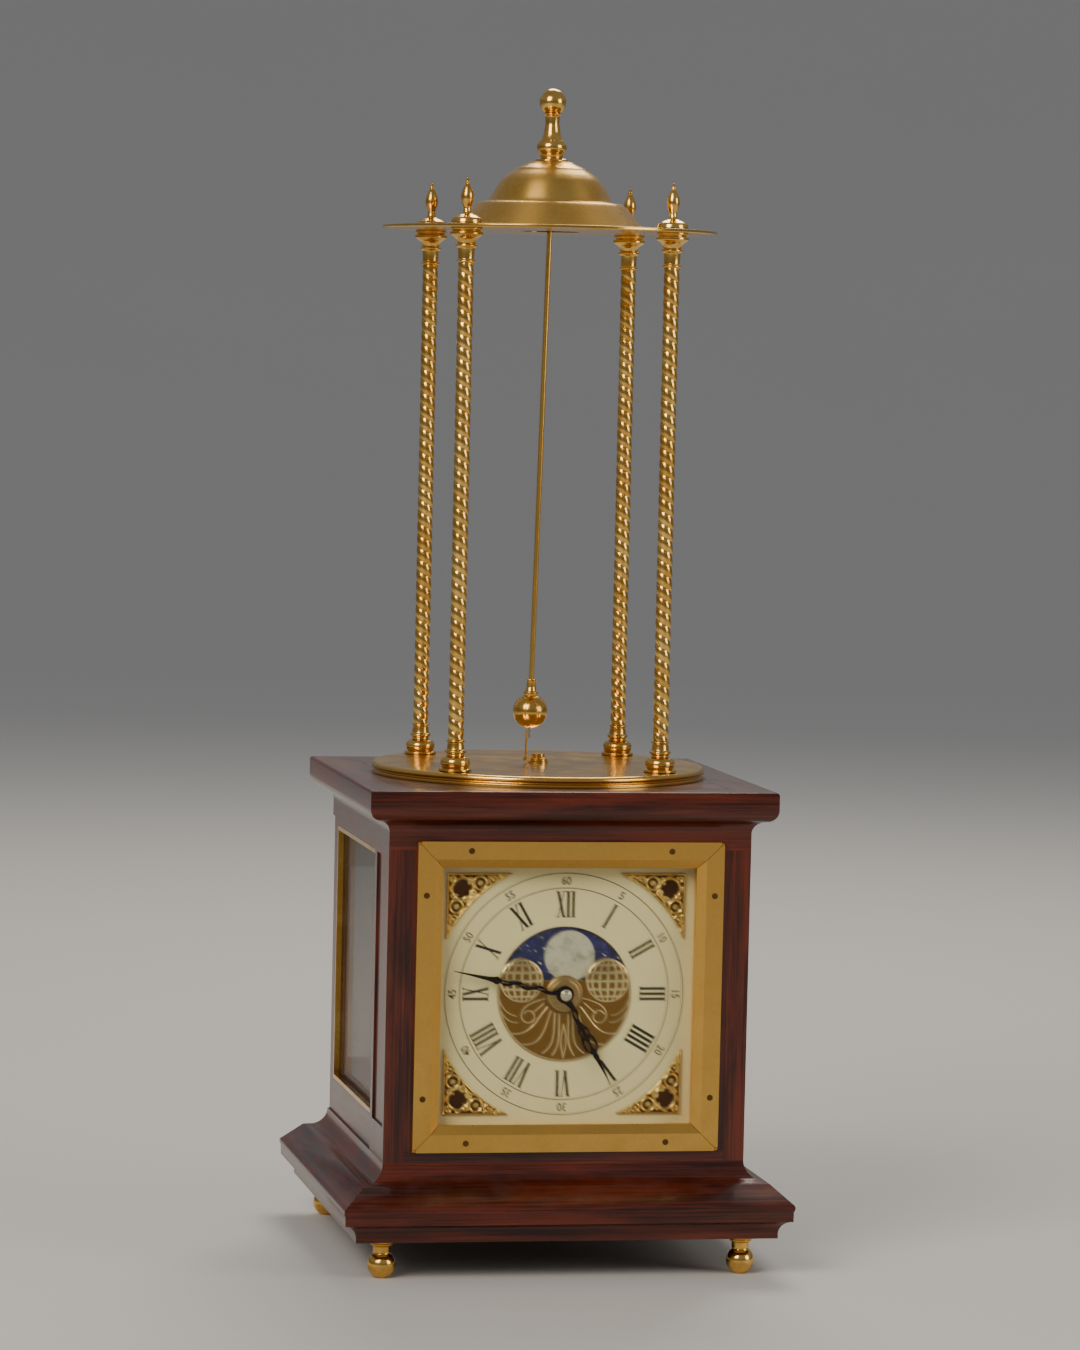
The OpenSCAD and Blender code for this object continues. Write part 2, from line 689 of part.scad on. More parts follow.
// Angle of the way from one arbor to another, in the drawing of a gear
function way(a, b) = atan2(a[1] - b[1], b[0] - a[0]);
module driver(p, y, n, m, t, bore, to) {
    along_y(p, y) wheel(n, m, t, bore, way(p, to));
}
module driven(p, y, n, m, t, bore, from) {
    along_y(p, y) gear(n, m, t, bore, way(p, from) + 180 / n);
}

module cannon_pinion() {
    color("#c8963c") {
        along_y(centre_at, minute_wheel_y)
            gear(motion_teeth[0], minute_m, gear_t, arbor_r + run, way(centre_at, minute_stud));
        along_y(centre_at, pipe_y) tube(pipe_r[1], arbor_r + run, minute_wheel_y - pipe_y + tiny);
    }
}
module minute_wheel() {
    color("#c8963c") difference() {
        union() {
            driven(minute_stud, minute_wheel_y, motion_teeth[1], minute_m, gear_t, tiny, centre_at);
            along_y(minute_stud, hour_wheel_y) gear(motion_teeth[2], hour_m, gear_t + pass + tiny, tiny,
                way(minute_stud, centre_at));
        }
        along_y(minute_stud, hour_wheel_y - 1) cylinder(r = arbor_r + run, h = 6);
    }
}
module hour_wheel() {
    color("#c8963c") difference() {
        union() {
            driven(centre_at, hour_wheel_y, motion_teeth[3], hour_m, gear_t, tiny, minute_stud);
            along_y(centre_at, idler_y - 0.2)
                gear(moon_teeth[0], hour_moon_m, gear_t + pass + 0.2 + tiny, tiny,
                way(centre_at, idler_stud));
            along_y(centre_at, hour_y - hand_t - 0.4)
                cylinder(r = pipe_r[2], h = idler_y - hour_y + hand_t + 0.5);
        }
        along_y(centre_at, hour_y - hand_t - 2) cylinder(r = pipe_r[1] + run, h = 30);
    }
}
module moon_idler() {
    color("#c8963c") difference() {
        union() {
            driven(idler_stud, idler_y, moon_teeth[1], hour_moon_m, gear_t, tiny, centre_at);
            along_y(idler_stud, moon_wheel_y - 0.1)
                gear(moon_teeth[2], moon_m, gear_t + pass + 0.1 + tiny, tiny,
                way(idler_stud, centre_at));
        }
        along_y(idler_stud, moon_wheel_y - 2) cylinder(r = 0.55 + run, h = 8);
    }
}

/* Movement */
plate_z0 = body_z + board_t;
plate_z1 = crown_at[1] + 16;
pillar_x = plate_w / 2 - 7;
pillar_spots = [for (s = side, z = [plate_z0 + 8, plate_z1 - 7]) [s * pillar_x, z]];
plate_holes = [centre_at, third_at, fourth_at, crown_at];
module plate(y) {
    difference() {
        translate([-plate_w / 2, y, plate_z0]) cube([plate_w, plate_t, plate_z1 - plate_z0]);
        for (p = plate_holes) along_y(p, y - 1) cylinder(r = arbor_r + run, h = plate_t + 2, $fn = 24);
        along_y(great_at, y - 1) cylinder(r = winder_r + run, h = plate_t + 2);
    }
}
module front_plate() {
    color("#d0a550") {
        plate(front_plate_y);
        along_y(minute_stud, hour_wheel_y - 0.6)
            cylinder(r = arbor_r, h = front_plate_y - hour_wheel_y + 0.6 + tiny);
        along_y(idler_stud, moon_wheel_y - 0.2)
            cylinder(r = 0.55, h = front_plate_y - moon_wheel_y + 0.2 + tiny);
    }
}
module back_plate() {
    color("#d0a550") plate(back_plate_y);
}
module plate_pillars() {
    color("#e0b860") for (p = pillar_spots) along_y(p, front_plate_y + plate_t) rotate_extrude()
        polygon([[0, 0], [5, 0], [5, 2], [3.4, 3.5], [3.4, plate_gap / 2 - 4], [4.6, plate_gap / 2 - 2],
            [4.6, plate_gap / 2 + 2], [3.4, plate_gap / 2 + 4], [3.4, plate_gap - 3.5], [5, plate_gap - 2],
            [5, plate_gap], [0, plate_gap]]);
}
module seat_board() {
    color("#5a3320") translate([-plate_w / 2 - 8, front_y + front_t + seat, body_z])
        cube([plate_w + 16, back_plate_y + plate_t + 6 - front_y - front_t, board_t]);
}
winder_r = 3;
drum_r = 29;
drum_h = 20;
great_y = front_plate_y + plate_t + 2.5;
great_t = 2.5;
module barrel() {
    color("#d0a550") difference() {
        union() {
            along_y(great_at, great_y)
                gear(great_teeth[0], great_m, great_t, tiny, way(great_at, centre_at));
            along_y(great_at, great_y + great_t - tiny) rotate_extrude() polygon([[0, 0], [drum_r, 0],
                [drum_r, drum_h - 1.5], [drum_r - 1.2, drum_h - 1.5], [drum_r - 1.2, drum_h - 2.2],
                [drum_r - 3, drum_h - 2.2], [drum_r - 3, drum_h - 1], [6, drum_h - 1],
                [6, drum_h], [0, drum_h]]);
        }
        along_y(great_at, great_y - 1) cylinder(r = winder_r + run, h = drum_h + 6);
    }
}
module barrel_arbor() {
    color("#9a9a96") {
        along_y(great_at, front_plate_y - 0.3)
            cylinder(r = winder_r, h = back_plate_y - front_plate_y + plate_t + 4);
        translate([great_at[0] - 1.9, back_plate_y + plate_t + 3, great_at[1] - 1.9]) cube([3.8, 14, 3.8]);
    }
}
// An arbor with its wheel and pinion: y of each, and which way each one meshes
module arbor(p, y0, y1) {
    along_y(p, y0) cylinder(r = arbor_r, h = y1 - y0, $fn = 24);
}
mid_y = front_plate_y + plate_t;
centre_wheel_y = mid_y + 0.68 * plate_gap;
third_wheel_y = mid_y + 0.28 * plate_gap;
fourth_wheel_y = mid_y + 0.48 * plate_gap;
train_t = 1.5;
leaf_h = 5;
back_end = back_plate_y + plate_t;
module centre_wheel() {
    color("#d0a550") {
        arbor(centre_at, pipe_y + 0.4, back_end + 0.5);
        driver(centre_at, centre_wheel_y, centre_teeth[0], centre_m, train_t, tiny, third_at);
        driven(centre_at, great_y - 1, great_teeth[1], great_m, leaf_h, tiny, great_at);
    }
}
module third_wheel() {
    color("#d0a550") {
        arbor(third_at, front_plate_y - 0.3, back_end + 0.3);
        driver(third_at, third_wheel_y, third_teeth[0], third_m, train_t, tiny, fourth_at);
        driven(third_at, centre_wheel_y - 2, centre_teeth[1], centre_m, leaf_h, tiny, centre_at);
    }
}
module fourth_wheel() {
    color("#d0a550") {
        arbor(fourth_at, front_plate_y - 0.3, back_end + 0.3);
        driver(fourth_at, fourth_wheel_y, fourth_teeth[0], third_m, train_t, tiny, crown_at);
        driven(fourth_at, third_wheel_y - 2, third_teeth[1], third_m, leaf_h, tiny, third_at);
    }
}
// Crown wheel: its teeth stand out towards the back and turn the upright arbor
crown_m = 1;
crown_r = crown_m * crown_teeth[0] / 2;
drive_pr = crown_m * crown_teeth[1] / 2;
crown_tip_y = -drive_pr + 0.7 * crown_m;
crown_root_y = -drive_pr - 1.1 * crown_m;
crown_web_y = crown_root_y - 1.8;
crown_band = 3;
module crown_wheel() {
    color("#d0a550") {
        arbor(crown_at, front_plate_y - 0.3, crown_web_y + 1);
        driven(crown_at, fourth_wheel_y - 2, fourth_teeth[1], third_m, leaf_h, tiny, fourth_at);
        along_y(crown_at, crown_web_y) {
            difference() {
                cylinder(r = crown_r + crown_band / 2, h = 1.8);
                for (k = [0:4]) rotate(k * 72) translate([0, 0, -1]) linear_extrude(4) polygon(concat(
                    arc([0, 0], crown_r - 3, 7, 65, 8), arc([0, 0], 4.5, 50, 22, 3)));
            }
            translate([0, 0, -3]) cylinder(r = 3.2, h = 3 + tiny);
            for (k = [0:crown_teeth[0] - 1]) rotate(-90 + 360 * k / crown_teeth[0])
                translate([crown_r - crown_band / 2, 0, 1.8 - tiny]) rotate([90, 0, 90])
                    linear_extrude(crown_band) polygon([[-0.78, 0], [0.78, 0],
                        [0.3, crown_tip_y - crown_root_y], [-0.3, crown_tip_y - crown_root_y]]);
        }
    }
}
// Bracket on the back plate that carries the foot of the upright arbor
foot_z = crown_at[1] + crown_r - 13;
cock_t = 4;
cock_x = crown_r + 4.5;
cock_y1 = drive_r + 5.5;
module arbor_cock() {
    color("#d0a550") difference() {
        translate([-cock_x - cock_t, back_end, foot_z])
            cube([2 * (cock_x + cock_t), cock_y1 - back_end, cock_t]);
        translate([-cock_x, back_end - 1, foot_z - 1])
            cube([2 * cock_x, crown_tip_y + 1.2 - back_end + 1, cock_t + 2]);
        translate([0, 0, foot_z - 1]) cylinder(r = drive_r + run, h = cock_t + 2);
    }
}

/* Upright arbor and crank */
bush_r = 3.6;
module arbor_bush() {
    color("#e0b860") {
        translate([0, 0, cornice_top - board_t])
            tube(bush_r, drive_r + run, disc_z - cornice_top + board_t);
        translate([0, 0, disc_z]) tube(bush_r + 2.2, drive_r + run, 0.8);
    }
}
crank_z = disc_z + 0.8 + pass;
hub_r = 5.5;
arm_t = 2;
wire_r = 0.6;
spike_r = 0.8;
bob_out = pend_l * sin(lean);
wire_at = [-bob_out - 2.3, -(wire_r + spike_r + pass)];
wire_top = pivot_z - pend_l - bob_d / 2 - 1;
module drive_arbor() {
    color("#b8b8b0") {
        translate([0, 0, foot_z - 0.3]) cylinder(r = drive_r, h = crank_z + 3 - foot_z);
        translate([0, 0, foot_z + cock_t + 0.4]) cylinder(r = drive_r + 1, h = 1.2);
        translate([0, 0, crown_at[1] + crown_r - 5]) linear_extrude(10)
            polygon(gear_pts(crown_teeth[1], crown_m, -90 + 180 / crown_teeth[1]));
    }
}
module crank() {
    color("#d8a848") difference() {
        union() {
            translate([0, 0, crank_z]) rotate_extrude() polygon([[0, 0], [hub_r, 0], [hub_r, 1.2],
                [hub_r - 1.8, 2.4], [hub_r - 1.8, 4.2], [0, 4.2]]);
            rotate([0, 0, atan2(wire_at[1], wire_at[0])]) translate([0, -1.4, crank_z + 0.2]) {
                cube([norm(wire_at), 2.8, arm_t]);
                translate([norm(wire_at), 1.4, 0]) cylinder(r = 1.4, h = arm_t, $fn = 24);
            }
            translate([wire_at[0], wire_at[1], crank_z + 0.2])
                cylinder(r = wire_r, h = wire_top - crank_z - 0.2, $fn = 24);
        }
        translate([0, 0, crank_z - 1]) cylinder(r = drive_r + run / 2, h = 4.1);
    }
}

/* Open stage */
stud_r = 2.5;
stud_h = 9;
module base_disc() {
    e = disc_t;
    color("#d8a848") difference() {
        translate([0, 0, cornice_top]) rotate_extrude($fn = 96) polygon(concat(
            [[0, 0], [disc_r, 0], [disc_r, 0.26 * e], [disc_r - 1, 0.34 * e]],
            arc([disc_r - 1.6, 0.66 * e], 0.34 * e * 0.9, -60, 90, 8),
            [[0, e]]));
        translate([0, 0, cornice_top - 1]) cylinder(r = bush_r + run, h = disc_t + 2);
        for (x = side, y = side) translate([x * column_xy, y * column_xy, cornice_top - 1])
            cylinder(r = stud_r + run, h = disc_t + 2, $fn = 24);
    }
}
module top_plate() {
    color("#d8a848") difference() {
        translate([0, 0, top_z]) cylinder(r = disc_r, h = top_t, $fn = 96);
        translate([0, 0, top_z - 1]) cylinder(r = rod_hole_r, h = top_t + 2);
        for (x = side, y = side) translate([x * column_xy, y * column_xy, top_z - 1])
            cylinder(r = top_stud_r + run, h = top_t + 2, $fn = 24);
    }
}
rod_hole_r = 17;
top_stud_r = 2;

// One column: studs, turned base and capital, and a twisted shaft of two strands
shaft_r = shaft_d / 2;
lead = 14;
strands = 2;
shaft_h = stage_h - col_base_h - col_cap_h;
base_profile = concat(
    [[0, -disc_t - stud_h], [stud_r, -disc_t - stud_h], [stud_r, 0], [9.4, 0], [9.4, 1.4], [8.2, 2]],
    arc([4.6, 4.8], 3.9, -40, 55, 6),
    [[4.9, 9], [4.9, 10], [6.1, 10.6], [6.1, 11.8], [5.2, 12.4], [4.6, col_base_h - 1.6],
     [5.2, col_base_h - 1.2], [5.2, col_base_h - 0.4], [4.6, col_base_h + tiny], [0, col_base_h + tiny]]);
cap_profile = concat(
    [[0, -tiny], [4.6, -tiny], [5.3, 0.5], [5.3, 1.4], [4.6, 2], [4.9, col_cap_h - 11.5],
     [6.2, col_cap_h - 10.8], [6.2, col_cap_h - 9.8], [5.2, col_cap_h - 9.2]],
    arc([9.2, col_cap_h - 9.2], 4, 180, 110, 5),
    [[9.4, col_cap_h - 4], [9.4, col_cap_h - 2.6], [8, col_cap_h - 2], [9, col_cap_h - 1.2],
     [9, col_cap_h], [top_stud_r, col_cap_h], [top_stud_r, col_cap_h + top_t + 4],
     [0, col_cap_h + top_t + 4]]);
strand_pts = [for (i = [0:strands * 3 - 1]) let (a = 360 * i / (strands * 3))
    (shaft_r - 0.25 + 0.25 * cos(strands * a)) * [cos(a), sin(a)]];
module column(x, y) {
    color("#e0b050") translate([x * column_xy, y * column_xy, disc_z]) {
        rotate_extrude() polygon(base_profile);
        translate([0, 0, col_base_h]) linear_extrude(shaft_h, twist = 360 * shaft_h / lead,
            slices = ceil(shaft_h / lead * 8), $fn = 6) polygon(strand_pts);
        translate([0, 0, col_base_h + shaft_h]) rotate_extrude() polygon(cap_profile);
    }
}
module column_left_front() {
    column(-1, -1);
}
module column_right_front() {
    column(1, -1);
}
module column_left_rear() {
    column(-1, 1);
}
module column_right_rear() {
    column(1, 1);
}
s_h = small_finial_h;
small_profile = concat(
    [[0, 4.2], [top_stud_r + run, 4.2], [top_stud_r + run, 0], [8.8, 0], [8.8, 1.2]],
    arc([6.6, 1.8], 2, 0, 70, 4),
    [[3.6, 5.2], [2.4, 6.4], [2.1, 8.4]],
    [for (t = [0:8]) let (u = t / 8) [2 + 1.6 * sin(u * 180), 0.34 * s_h + u * 0.44 * s_h]],
    [[1, 0.84 * s_h], [1.5, 0.88 * s_h], [0.5, 0.93 * s_h], [0, s_h]]);
module column_finials() {
    color("#e0b050") for (x = side, y = side) translate([x * column_xy, y * column_xy, dome_z])
        rotate_extrude() polygon(small_profile);
}

// Bell shaped dome, its finial, and the bush under its crown
// The outline goes up skirt, shelf, bell and cap, t inside the outer face
d_h = dome_h;
d_r = dome_r;
crown_r_top = 12;
function dome_line(t) = [
    [d_r - 1.8 * t, 0.03 * d_h + 0.5 * t], [0.795 * d_r - 0.74 * t, 0.35 * d_h - 0.67 * t],
    [0.77 * d_r - 0.4 * t, 0.375 * d_h - t], [0.675 * d_r - 0.55 * t, 0.385 * d_h - t],
    [0.655 * d_r - 0.88 * t, 0.41 * d_h - 0.47 * t], [0.6 * d_r - 0.87 * t, 0.555 * d_h - 0.5 * t],
    [0.555 * d_r - 0.85 * t, 0.665 * d_h - 0.53 * t], [0.52 * d_r - 0.78 * t, 0.735 * d_h - 0.62 * t],
    [0.47 * d_r - 0.65 * t, 0.8 * d_h - 0.76 * t], [0.385 * d_r - 0.53 * t, 0.88 * d_h - 0.85 * t],
    [0.3 * d_r - 0.45 * t, 0.94 * d_h - 0.9 * t]];
module dome() {
    color("#d8a848") translate([0, 0, dome_z]) difference() {
        rotate_extrude($fn = 96) polygon(concat([[0, 0], [d_r, 0]], dome_line(0),
            [[crown_r_top + 1.5, 0.974 * d_h], [crown_r_top, d_h], [0, d_h]]));
        rotate_extrude($fn = 96) polygon(concat([[0, -1], [d_r - 1.8 * dome_t, -1]], dome_line(dome_t),
            [[crown_r_top, d_h - 1.6 * dome_t], [0, d_h - 1.6 * dome_t]]));
        translate([0, 0, d_h - 6]) cylinder(r = tie_r + run, h = 7);
    }
}
tie_r = 3;
tie_l = 7;
f_h = finial_h;
finial_profile = concat(
    [[0, -tie_l], [tie_r, -tie_l], [tie_r, 0], [9.4, 0], [9.6, 1], [8.4, 1.8], [6.2, 2.4]],
    arc([3.6, 0.2 * f_h], 5, -50, 55, 8),
    [[4.8, 0.4 * f_h], [4, 0.52 * f_h], [4.4, 0.64 * f_h], [5.2, 0.655 * f_h], [4, 0.67 * f_h]],
    arc([0, f_h - 7.7], 7.7, -62, 90, 12));
module main_finial() {
    color("#e0b050") translate([0, 0, crown_z]) rotate_extrude() polygon(finial_profile);
}

/* Suspension and pendulum */
neck_r = 2;
head_r = 4;
bush_top = crown_z - 1.6 * dome_t;
neck_z = pivot_z + 8;
module suspension_bush() {
    color("#c8963c") translate([0, 0, neck_z]) rotate_extrude() polygon([[neck_r + run, 0], [6.5, 0],
        [7, 0.6], [7, bush_top - neck_z - 2], [9.5, bush_top - neck_z - 2], [9.5, bush_top - neck_z],
        [tie_r + run, bush_top - neck_z], [tie_r + run, 8], [0, 8], [0, 7], [head_r + run, 7],
        [head_r + run, 3], [neck_r + run, 3]]);
}
cheek_gap = rod_d + 1.2;
cheek_t = 1.6;
pin_r = 0.9;
module suspension_swivel() {
    color("#b8b8b0") difference() {
        union() {
            translate([0, 0, pivot_z + 4]) cylinder(r = neck_r, h = neck_z - pivot_z);
            translate([0, 0, neck_z + 3 + run]) cylinder(r = head_r, h = 2.6);
            translate([-3, -cheek_gap / 2 - cheek_t, pivot_z - 3.5]) cube([6, cheek_gap + 2 * cheek_t, 9]);
        }
        translate([-4, -cheek_gap / 2, pivot_z - 4.5]) cube([8, cheek_gap, 8]);
        translate([0, -6, pivot_z]) rotate([-90, 0, 0]) cylinder(r = pin_r + run / 2, h = 12, $fn = 24);
    }
}
module swivel_pin() {
    color("#9a9a96") translate([0, -cheek_gap / 2 - cheek_t - 0.5, pivot_z]) rotate([-90, 0, 0])
        cylinder(r = pin_r, h = cheek_gap + 2 * cheek_t + 1, $fn = 24);
}
module hung() {
    translate([0, 0, pivot_z]) rotate([0, lean, 0]) children();
}
rod_r = rod_d / 2;
collar_h = 9;
module pendulum_rod() {
    color("#d8a848") hung() difference() {
        union() {
            translate([0, -cheek_gap / 2 + pass, 0]) rotate([-90, 0, 0])
                cylinder(r = 2.9, h = cheek_gap - 2 * pass);
            translate([0, 0, -pend_l + bob_d / 2 - 1]) cylinder(r = rod_r, h = pend_l - bob_d / 2 - 1.6);
        }
        translate([0, -6, 0]) rotate([-90, 0, 0]) cylinder(r = pin_r + run, h = 12);
    }
}
collar_profile = [[0, -1], [4, -1], [4.3, 0.4], [4.3, 1.4], [3.4, 2], [2.7, collar_h - 1.4],
    [3.1, collar_h - 1], [2.6, collar_h], [0, collar_h]];
module bob() {
    color("#e0b050") hung() translate([0, 0, -pend_l]) difference() {
        union() {
            sphere(d = bob_d, $fn = 64);
            translate([0, 0, bob_d / 2 - 0.4]) rotate_extrude() polygon(collar_profile);
        }
        translate([0, 0, bob_d / 2 - 1 - run]) cylinder(r = rod_r + run, h = collar_h + 3);
        translate([0, 0, -bob_d / 2 - 1]) cylinder(r = spike_r + run / 2, h = 5);
    }
}
module bob_spike() {
    color("#9a9a96") hung() translate([0, 0, -pend_l - bob_d / 2 - 6]) rotate_extrude($fn = 24)
        polygon([[0, 0], [spike_r, 1.6], [spike_r, 9.8], [0, 9.8]]);
}

feet();
plinth();
bottom_board();
case_front();
case_left();
case_right();
case_back();
cornice();
top_board();
side_glasses();
side_beads();
bezel();
dial_glass();
bezel_screws();
dial_plate();
centre_plate();
spandrels();
seat_board();
front_plate();
back_plate();
plate_pillars();
barrel_arbor();
arbor_cock();
case_hinges();
hinge_pins();
arbor_bush();
base_disc();
column_left_front();
column_right_front();
column_left_rear();
column_right_rear();
top_plate();
column_finials();
dome();
main_finial();
suspension_bush();
back_door();
door_glass();
door_hinges();
door_knob();
minute_hand();
cannon_pinion();
hand_nut();
hour_hand();
hour_wheel();
minute_wheel();
moon_disc();
moon_idler();
barrel();
centre_wheel();
third_wheel();
fourth_wheel();
crown_wheel();
drive_arbor();
crank();
suspension_swivel();
swivel_pin();
pendulum_rod();
bob();
bob_spike();
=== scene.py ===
"""Looks of a conical pendulum clock: a square mahogany case with a moon dial, and above it an open brass
stage on four twisted columns. Lengths in the functions are millimetres, and they become metres in the mesh."""
import json

import bmesh
import bpy
import numpy as np
from bpy.props import BoolProperty, FloatProperty, FloatVectorProperty, IntProperty, PointerProperty
from mathutils import Matrix, Vector


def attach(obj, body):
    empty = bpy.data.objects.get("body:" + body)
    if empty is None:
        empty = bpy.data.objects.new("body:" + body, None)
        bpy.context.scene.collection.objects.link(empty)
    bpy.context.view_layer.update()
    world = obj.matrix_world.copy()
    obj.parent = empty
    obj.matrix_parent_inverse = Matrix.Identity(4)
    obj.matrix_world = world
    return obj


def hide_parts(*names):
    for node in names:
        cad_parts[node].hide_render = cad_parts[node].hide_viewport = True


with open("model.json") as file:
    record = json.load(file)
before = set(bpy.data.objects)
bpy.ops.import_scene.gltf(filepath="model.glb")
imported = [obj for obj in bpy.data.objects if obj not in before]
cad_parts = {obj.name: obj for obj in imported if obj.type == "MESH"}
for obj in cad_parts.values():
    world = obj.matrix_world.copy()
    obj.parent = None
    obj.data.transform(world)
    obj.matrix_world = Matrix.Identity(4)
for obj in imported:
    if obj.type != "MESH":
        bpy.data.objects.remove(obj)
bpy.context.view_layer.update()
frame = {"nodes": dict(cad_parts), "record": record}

bl_info = {
    "name": "Conical Pendulum Clock",
    "version": (1, 0, 0),
    "blender": (4, 5, 0),
    "location": "3D View > Sidebar > Clock",
    "description": "Dresses the solids of a conical pendulum clock in wood, brass, glass and paint",
    "category": "Add Mesh",
}

MM = 0.001
# Heights and places of the solids in millimetres, and the pendulum's lean and the angle of a sharp edge in degrees
PLINTH_Z, CORNICE_Z = 22.5, 240.5
DIAL_Y, DIAL_Z = -92.0, 158.0
PLATE_Z, FLOOR_OF_STAGE, CEILING, DOME_Z, FINIAL_Z = 274.5, 281.0, 588.0, 590.0, 628.0
PIVOT_Z, PENDULUM, LEAN = 600.0, 289.0, 1.06
FOOT_AT, COLUMN_AT = 103.0, 59.3
SHARP_ANGLE = 38.0
COLUMNS = {f"column_{side}_{end}": (x * COLUMN_AT, y * COLUMN_AT)
           for end, y in (("front", -1), ("rear", 1)) for side, x in (("left", -1), ("right", 1))}
SLOTS = {part["node"]: part["material_slot"] for part in frame["record"]["subparts"]}
BODIES = {node: body for body, nodes in frame["record"]["behaviour"]["bodies"].items() for node in nodes}


# Sizes and colours that a user would change

def colour(name, about, value):
    """A colour that the user can pick."""
    return FloatVectorProperty(name=name, description=about, subtype="COLOR", size=3, min=0, max=1, default=value)


def length(name, about, value):
    """A length, given here in millimetres and kept in metres."""
    return FloatProperty(name=name, description=about, unit="LENGTH", subtype="DISTANCE", min=0, default=value * MM,
                         precision=5)


def share(name, about, value):
    """A share from 0 to 1."""
    return FloatProperty(name=name, description=about, subtype="FACTOR", min=0, max=1, default=value)


def power(name, about, value):
    """The power of a light in watts."""
    return FloatProperty(name=name, description=about, unit="POWER", default=value, min=0)


class ClockWood(bpy.types.PropertyGroup):
    """The mahogany of the case."""
    dark: colour("Dark grain", "Colour of the dark streaks in the mahogany", (0.016, 0.0026, 0.0012))
    light: colour("Light grain", "Colour of the light streaks in the mahogany", (0.125, 0.0180, 0.0055))
    gloss: share("Gloss", "Weight of the clear varnish on the mahogany", 0.5)
    board: colour("Inner board", "Colour of the unpolished boards inside the case", (0.22, 0.11, 0.045))


class ClockBrass(bpy.types.PropertyGroup):
    """The brass of the stage, the bezel and the movement."""
    bright: colour("Bright brass", "Colour of freshly polished brass", (0.86, 0.56, 0.155))
    aged: colour("Aged brass", "Colour of the lacquered brass where it has toned", (0.62, 0.32, 0.058))
    recess: colour("Recess", "Colour in the recesses of cast and engraved brass", (0.085, 0.026, 0.005))
    roughness: share("Roughness", "Roughness of the polished brass", 0.16)


class ClockDial(bpy.types.PropertyGroup):
    """The printed dial, its moon and its hands."""
    ground: colour("Dial ground", "Colour of the dial", (0.83, 0.68, 0.35))
    ink: colour("Ink", "Colour of the numerals and circles", (0.020, 0.014, 0.009))
    sky: colour("Night sky", "Colour of the sky round the moon", (0.008, 0.006, 0.048))
    moon: colour("Moon", "Colour of the moon", (0.55, 0.50, 0.36))
    outer_ring: length("Outer circle", "Radius of the outer circle of the minute track", 68.5)
    inner_ring: length("Inner circle", "Radius of the inner circle of the minute track", 60.0)
    line: length("Line", "Width of the two circles", 0.5)
    numeral_top: length("Numerals, outside", "Radius of the outer end of the hour numerals", 58.3)
    numeral_foot: length("Numerals, inside", "Radius of the inner end of the hour numerals", 43.4)
    stroke: length("Stroke", "Width of a heavy stroke of a numeral", 1.7)
    figure: length("Minute figures", "Height of the minute figures", 4.7)


class ClockColumns(bpy.types.PropertyGroup):
    """The twisted columns."""
    strands: IntProperty(name="Strands", description="Number of strands in a shaft", default=2, min=1, max=6)
    lead: length("Lead", "Height in which a strand goes round once", 14.0)
    radius: length("Radius", "Radius of a shaft over its strands", 4.5)
    groove: length("Groove", "Depth of the groove between two strands", 0.85)


class ClockStudio(bpy.types.PropertyGroup):
    """The camera and the lights."""
    lens: FloatProperty(name="Lens", description="Focal length on a picture 36 mm high", unit="CAMERA",
                        default=135.7, min=20)
    roll: FloatProperty(name="Roll", description="Turn of the camera about its line of sight", subtype="ANGLE",
                        default=0.0226)
    key: power("Key light", "Power of the large light at the left", 62.0)
    fill: power("Fill light", "Power of the light at the right", 24.0)
    rim: power("Rim light", "Power of the light above and behind", 36.0)
    sky: share("Room light", "Strength of the even light from all round", 0.30)
    floor: colour("Floor", "Colour of the floor", (0.62, 0.62, 0.61))
    shadows: BoolProperty(name="Soft shadows", description="Use large lights with soft shadows", default=True)


# Meshes

def around_in(count):
    """Angles all the way round in even steps, without the last, which is the first again."""
    return np.linspace(0, 2 * np.pi, count, endpoint=False)


def arc(centre, radius, start, end, steps):
    """Points on a circle in a profile: centre plus radius times (cos a, sin a), with a from start to end degrees."""
    a = np.radians(np.linspace(start, end, steps + 1))
    return np.column_stack([centre[0] + radius * np.cos(a), centre[1] + radius * np.sin(a)])


def rounded(points, radius, steps=4):
    """A profile with each inner corner rounded: from a point before the corner to one after it, each at most
    radius and at most 0.45 of the edge away, along the parabola (1-t)^2 A + 2t(1-t) C + t^2 B."""
    p = np.asarray(points, float)
    corner = p[1:-1]

    def beside(neighbour):
        way = neighbour - corner
        far = np.linalg.norm(way, axis=1, keepdims=True)
        return (corner + way * np.minimum(radius / np.maximum(far, 1e-9), 0.45))[:, None]
    t = np.linspace(0, 1, steps + 1)[None, :, None]
    curve = (1 - t) ** 2 * beside(p[:-2]) + 2 * t * (1 - t) * corner[:, None] + t ** 2 * beside(p[2:])
    return np.vstack([p[:1], curve.reshape(-1, 2), p[-1:]])


def grid(rows, columns, round_columns=False, round_rows=False):
    """Quads of a grid of points numbered row by row, joined round its columns or rows where asked."""
    i = np.arange(rows if round_rows else rows - 1)[:, None]
    j = np.arange(columns if round_columns else columns - 1)[None, :]
    i2, j2 = (i + 1) % rows, (j + 1) % columns
    quads = np.stack(np.broadcast_arrays(i * columns + j, i * columns + j2, i2 * columns + j2, i2 * columns + j), -1)
    return quads.reshape(-1, 4)


def band(lower, upper, around):
    """Quads between two closed rings of points, each given by the number of its first point."""
    k = np.arange(around)
    return np.stack([lower + k, lower + (k + 1) % around, upper + (k + 1) % around, upper + k], -1)


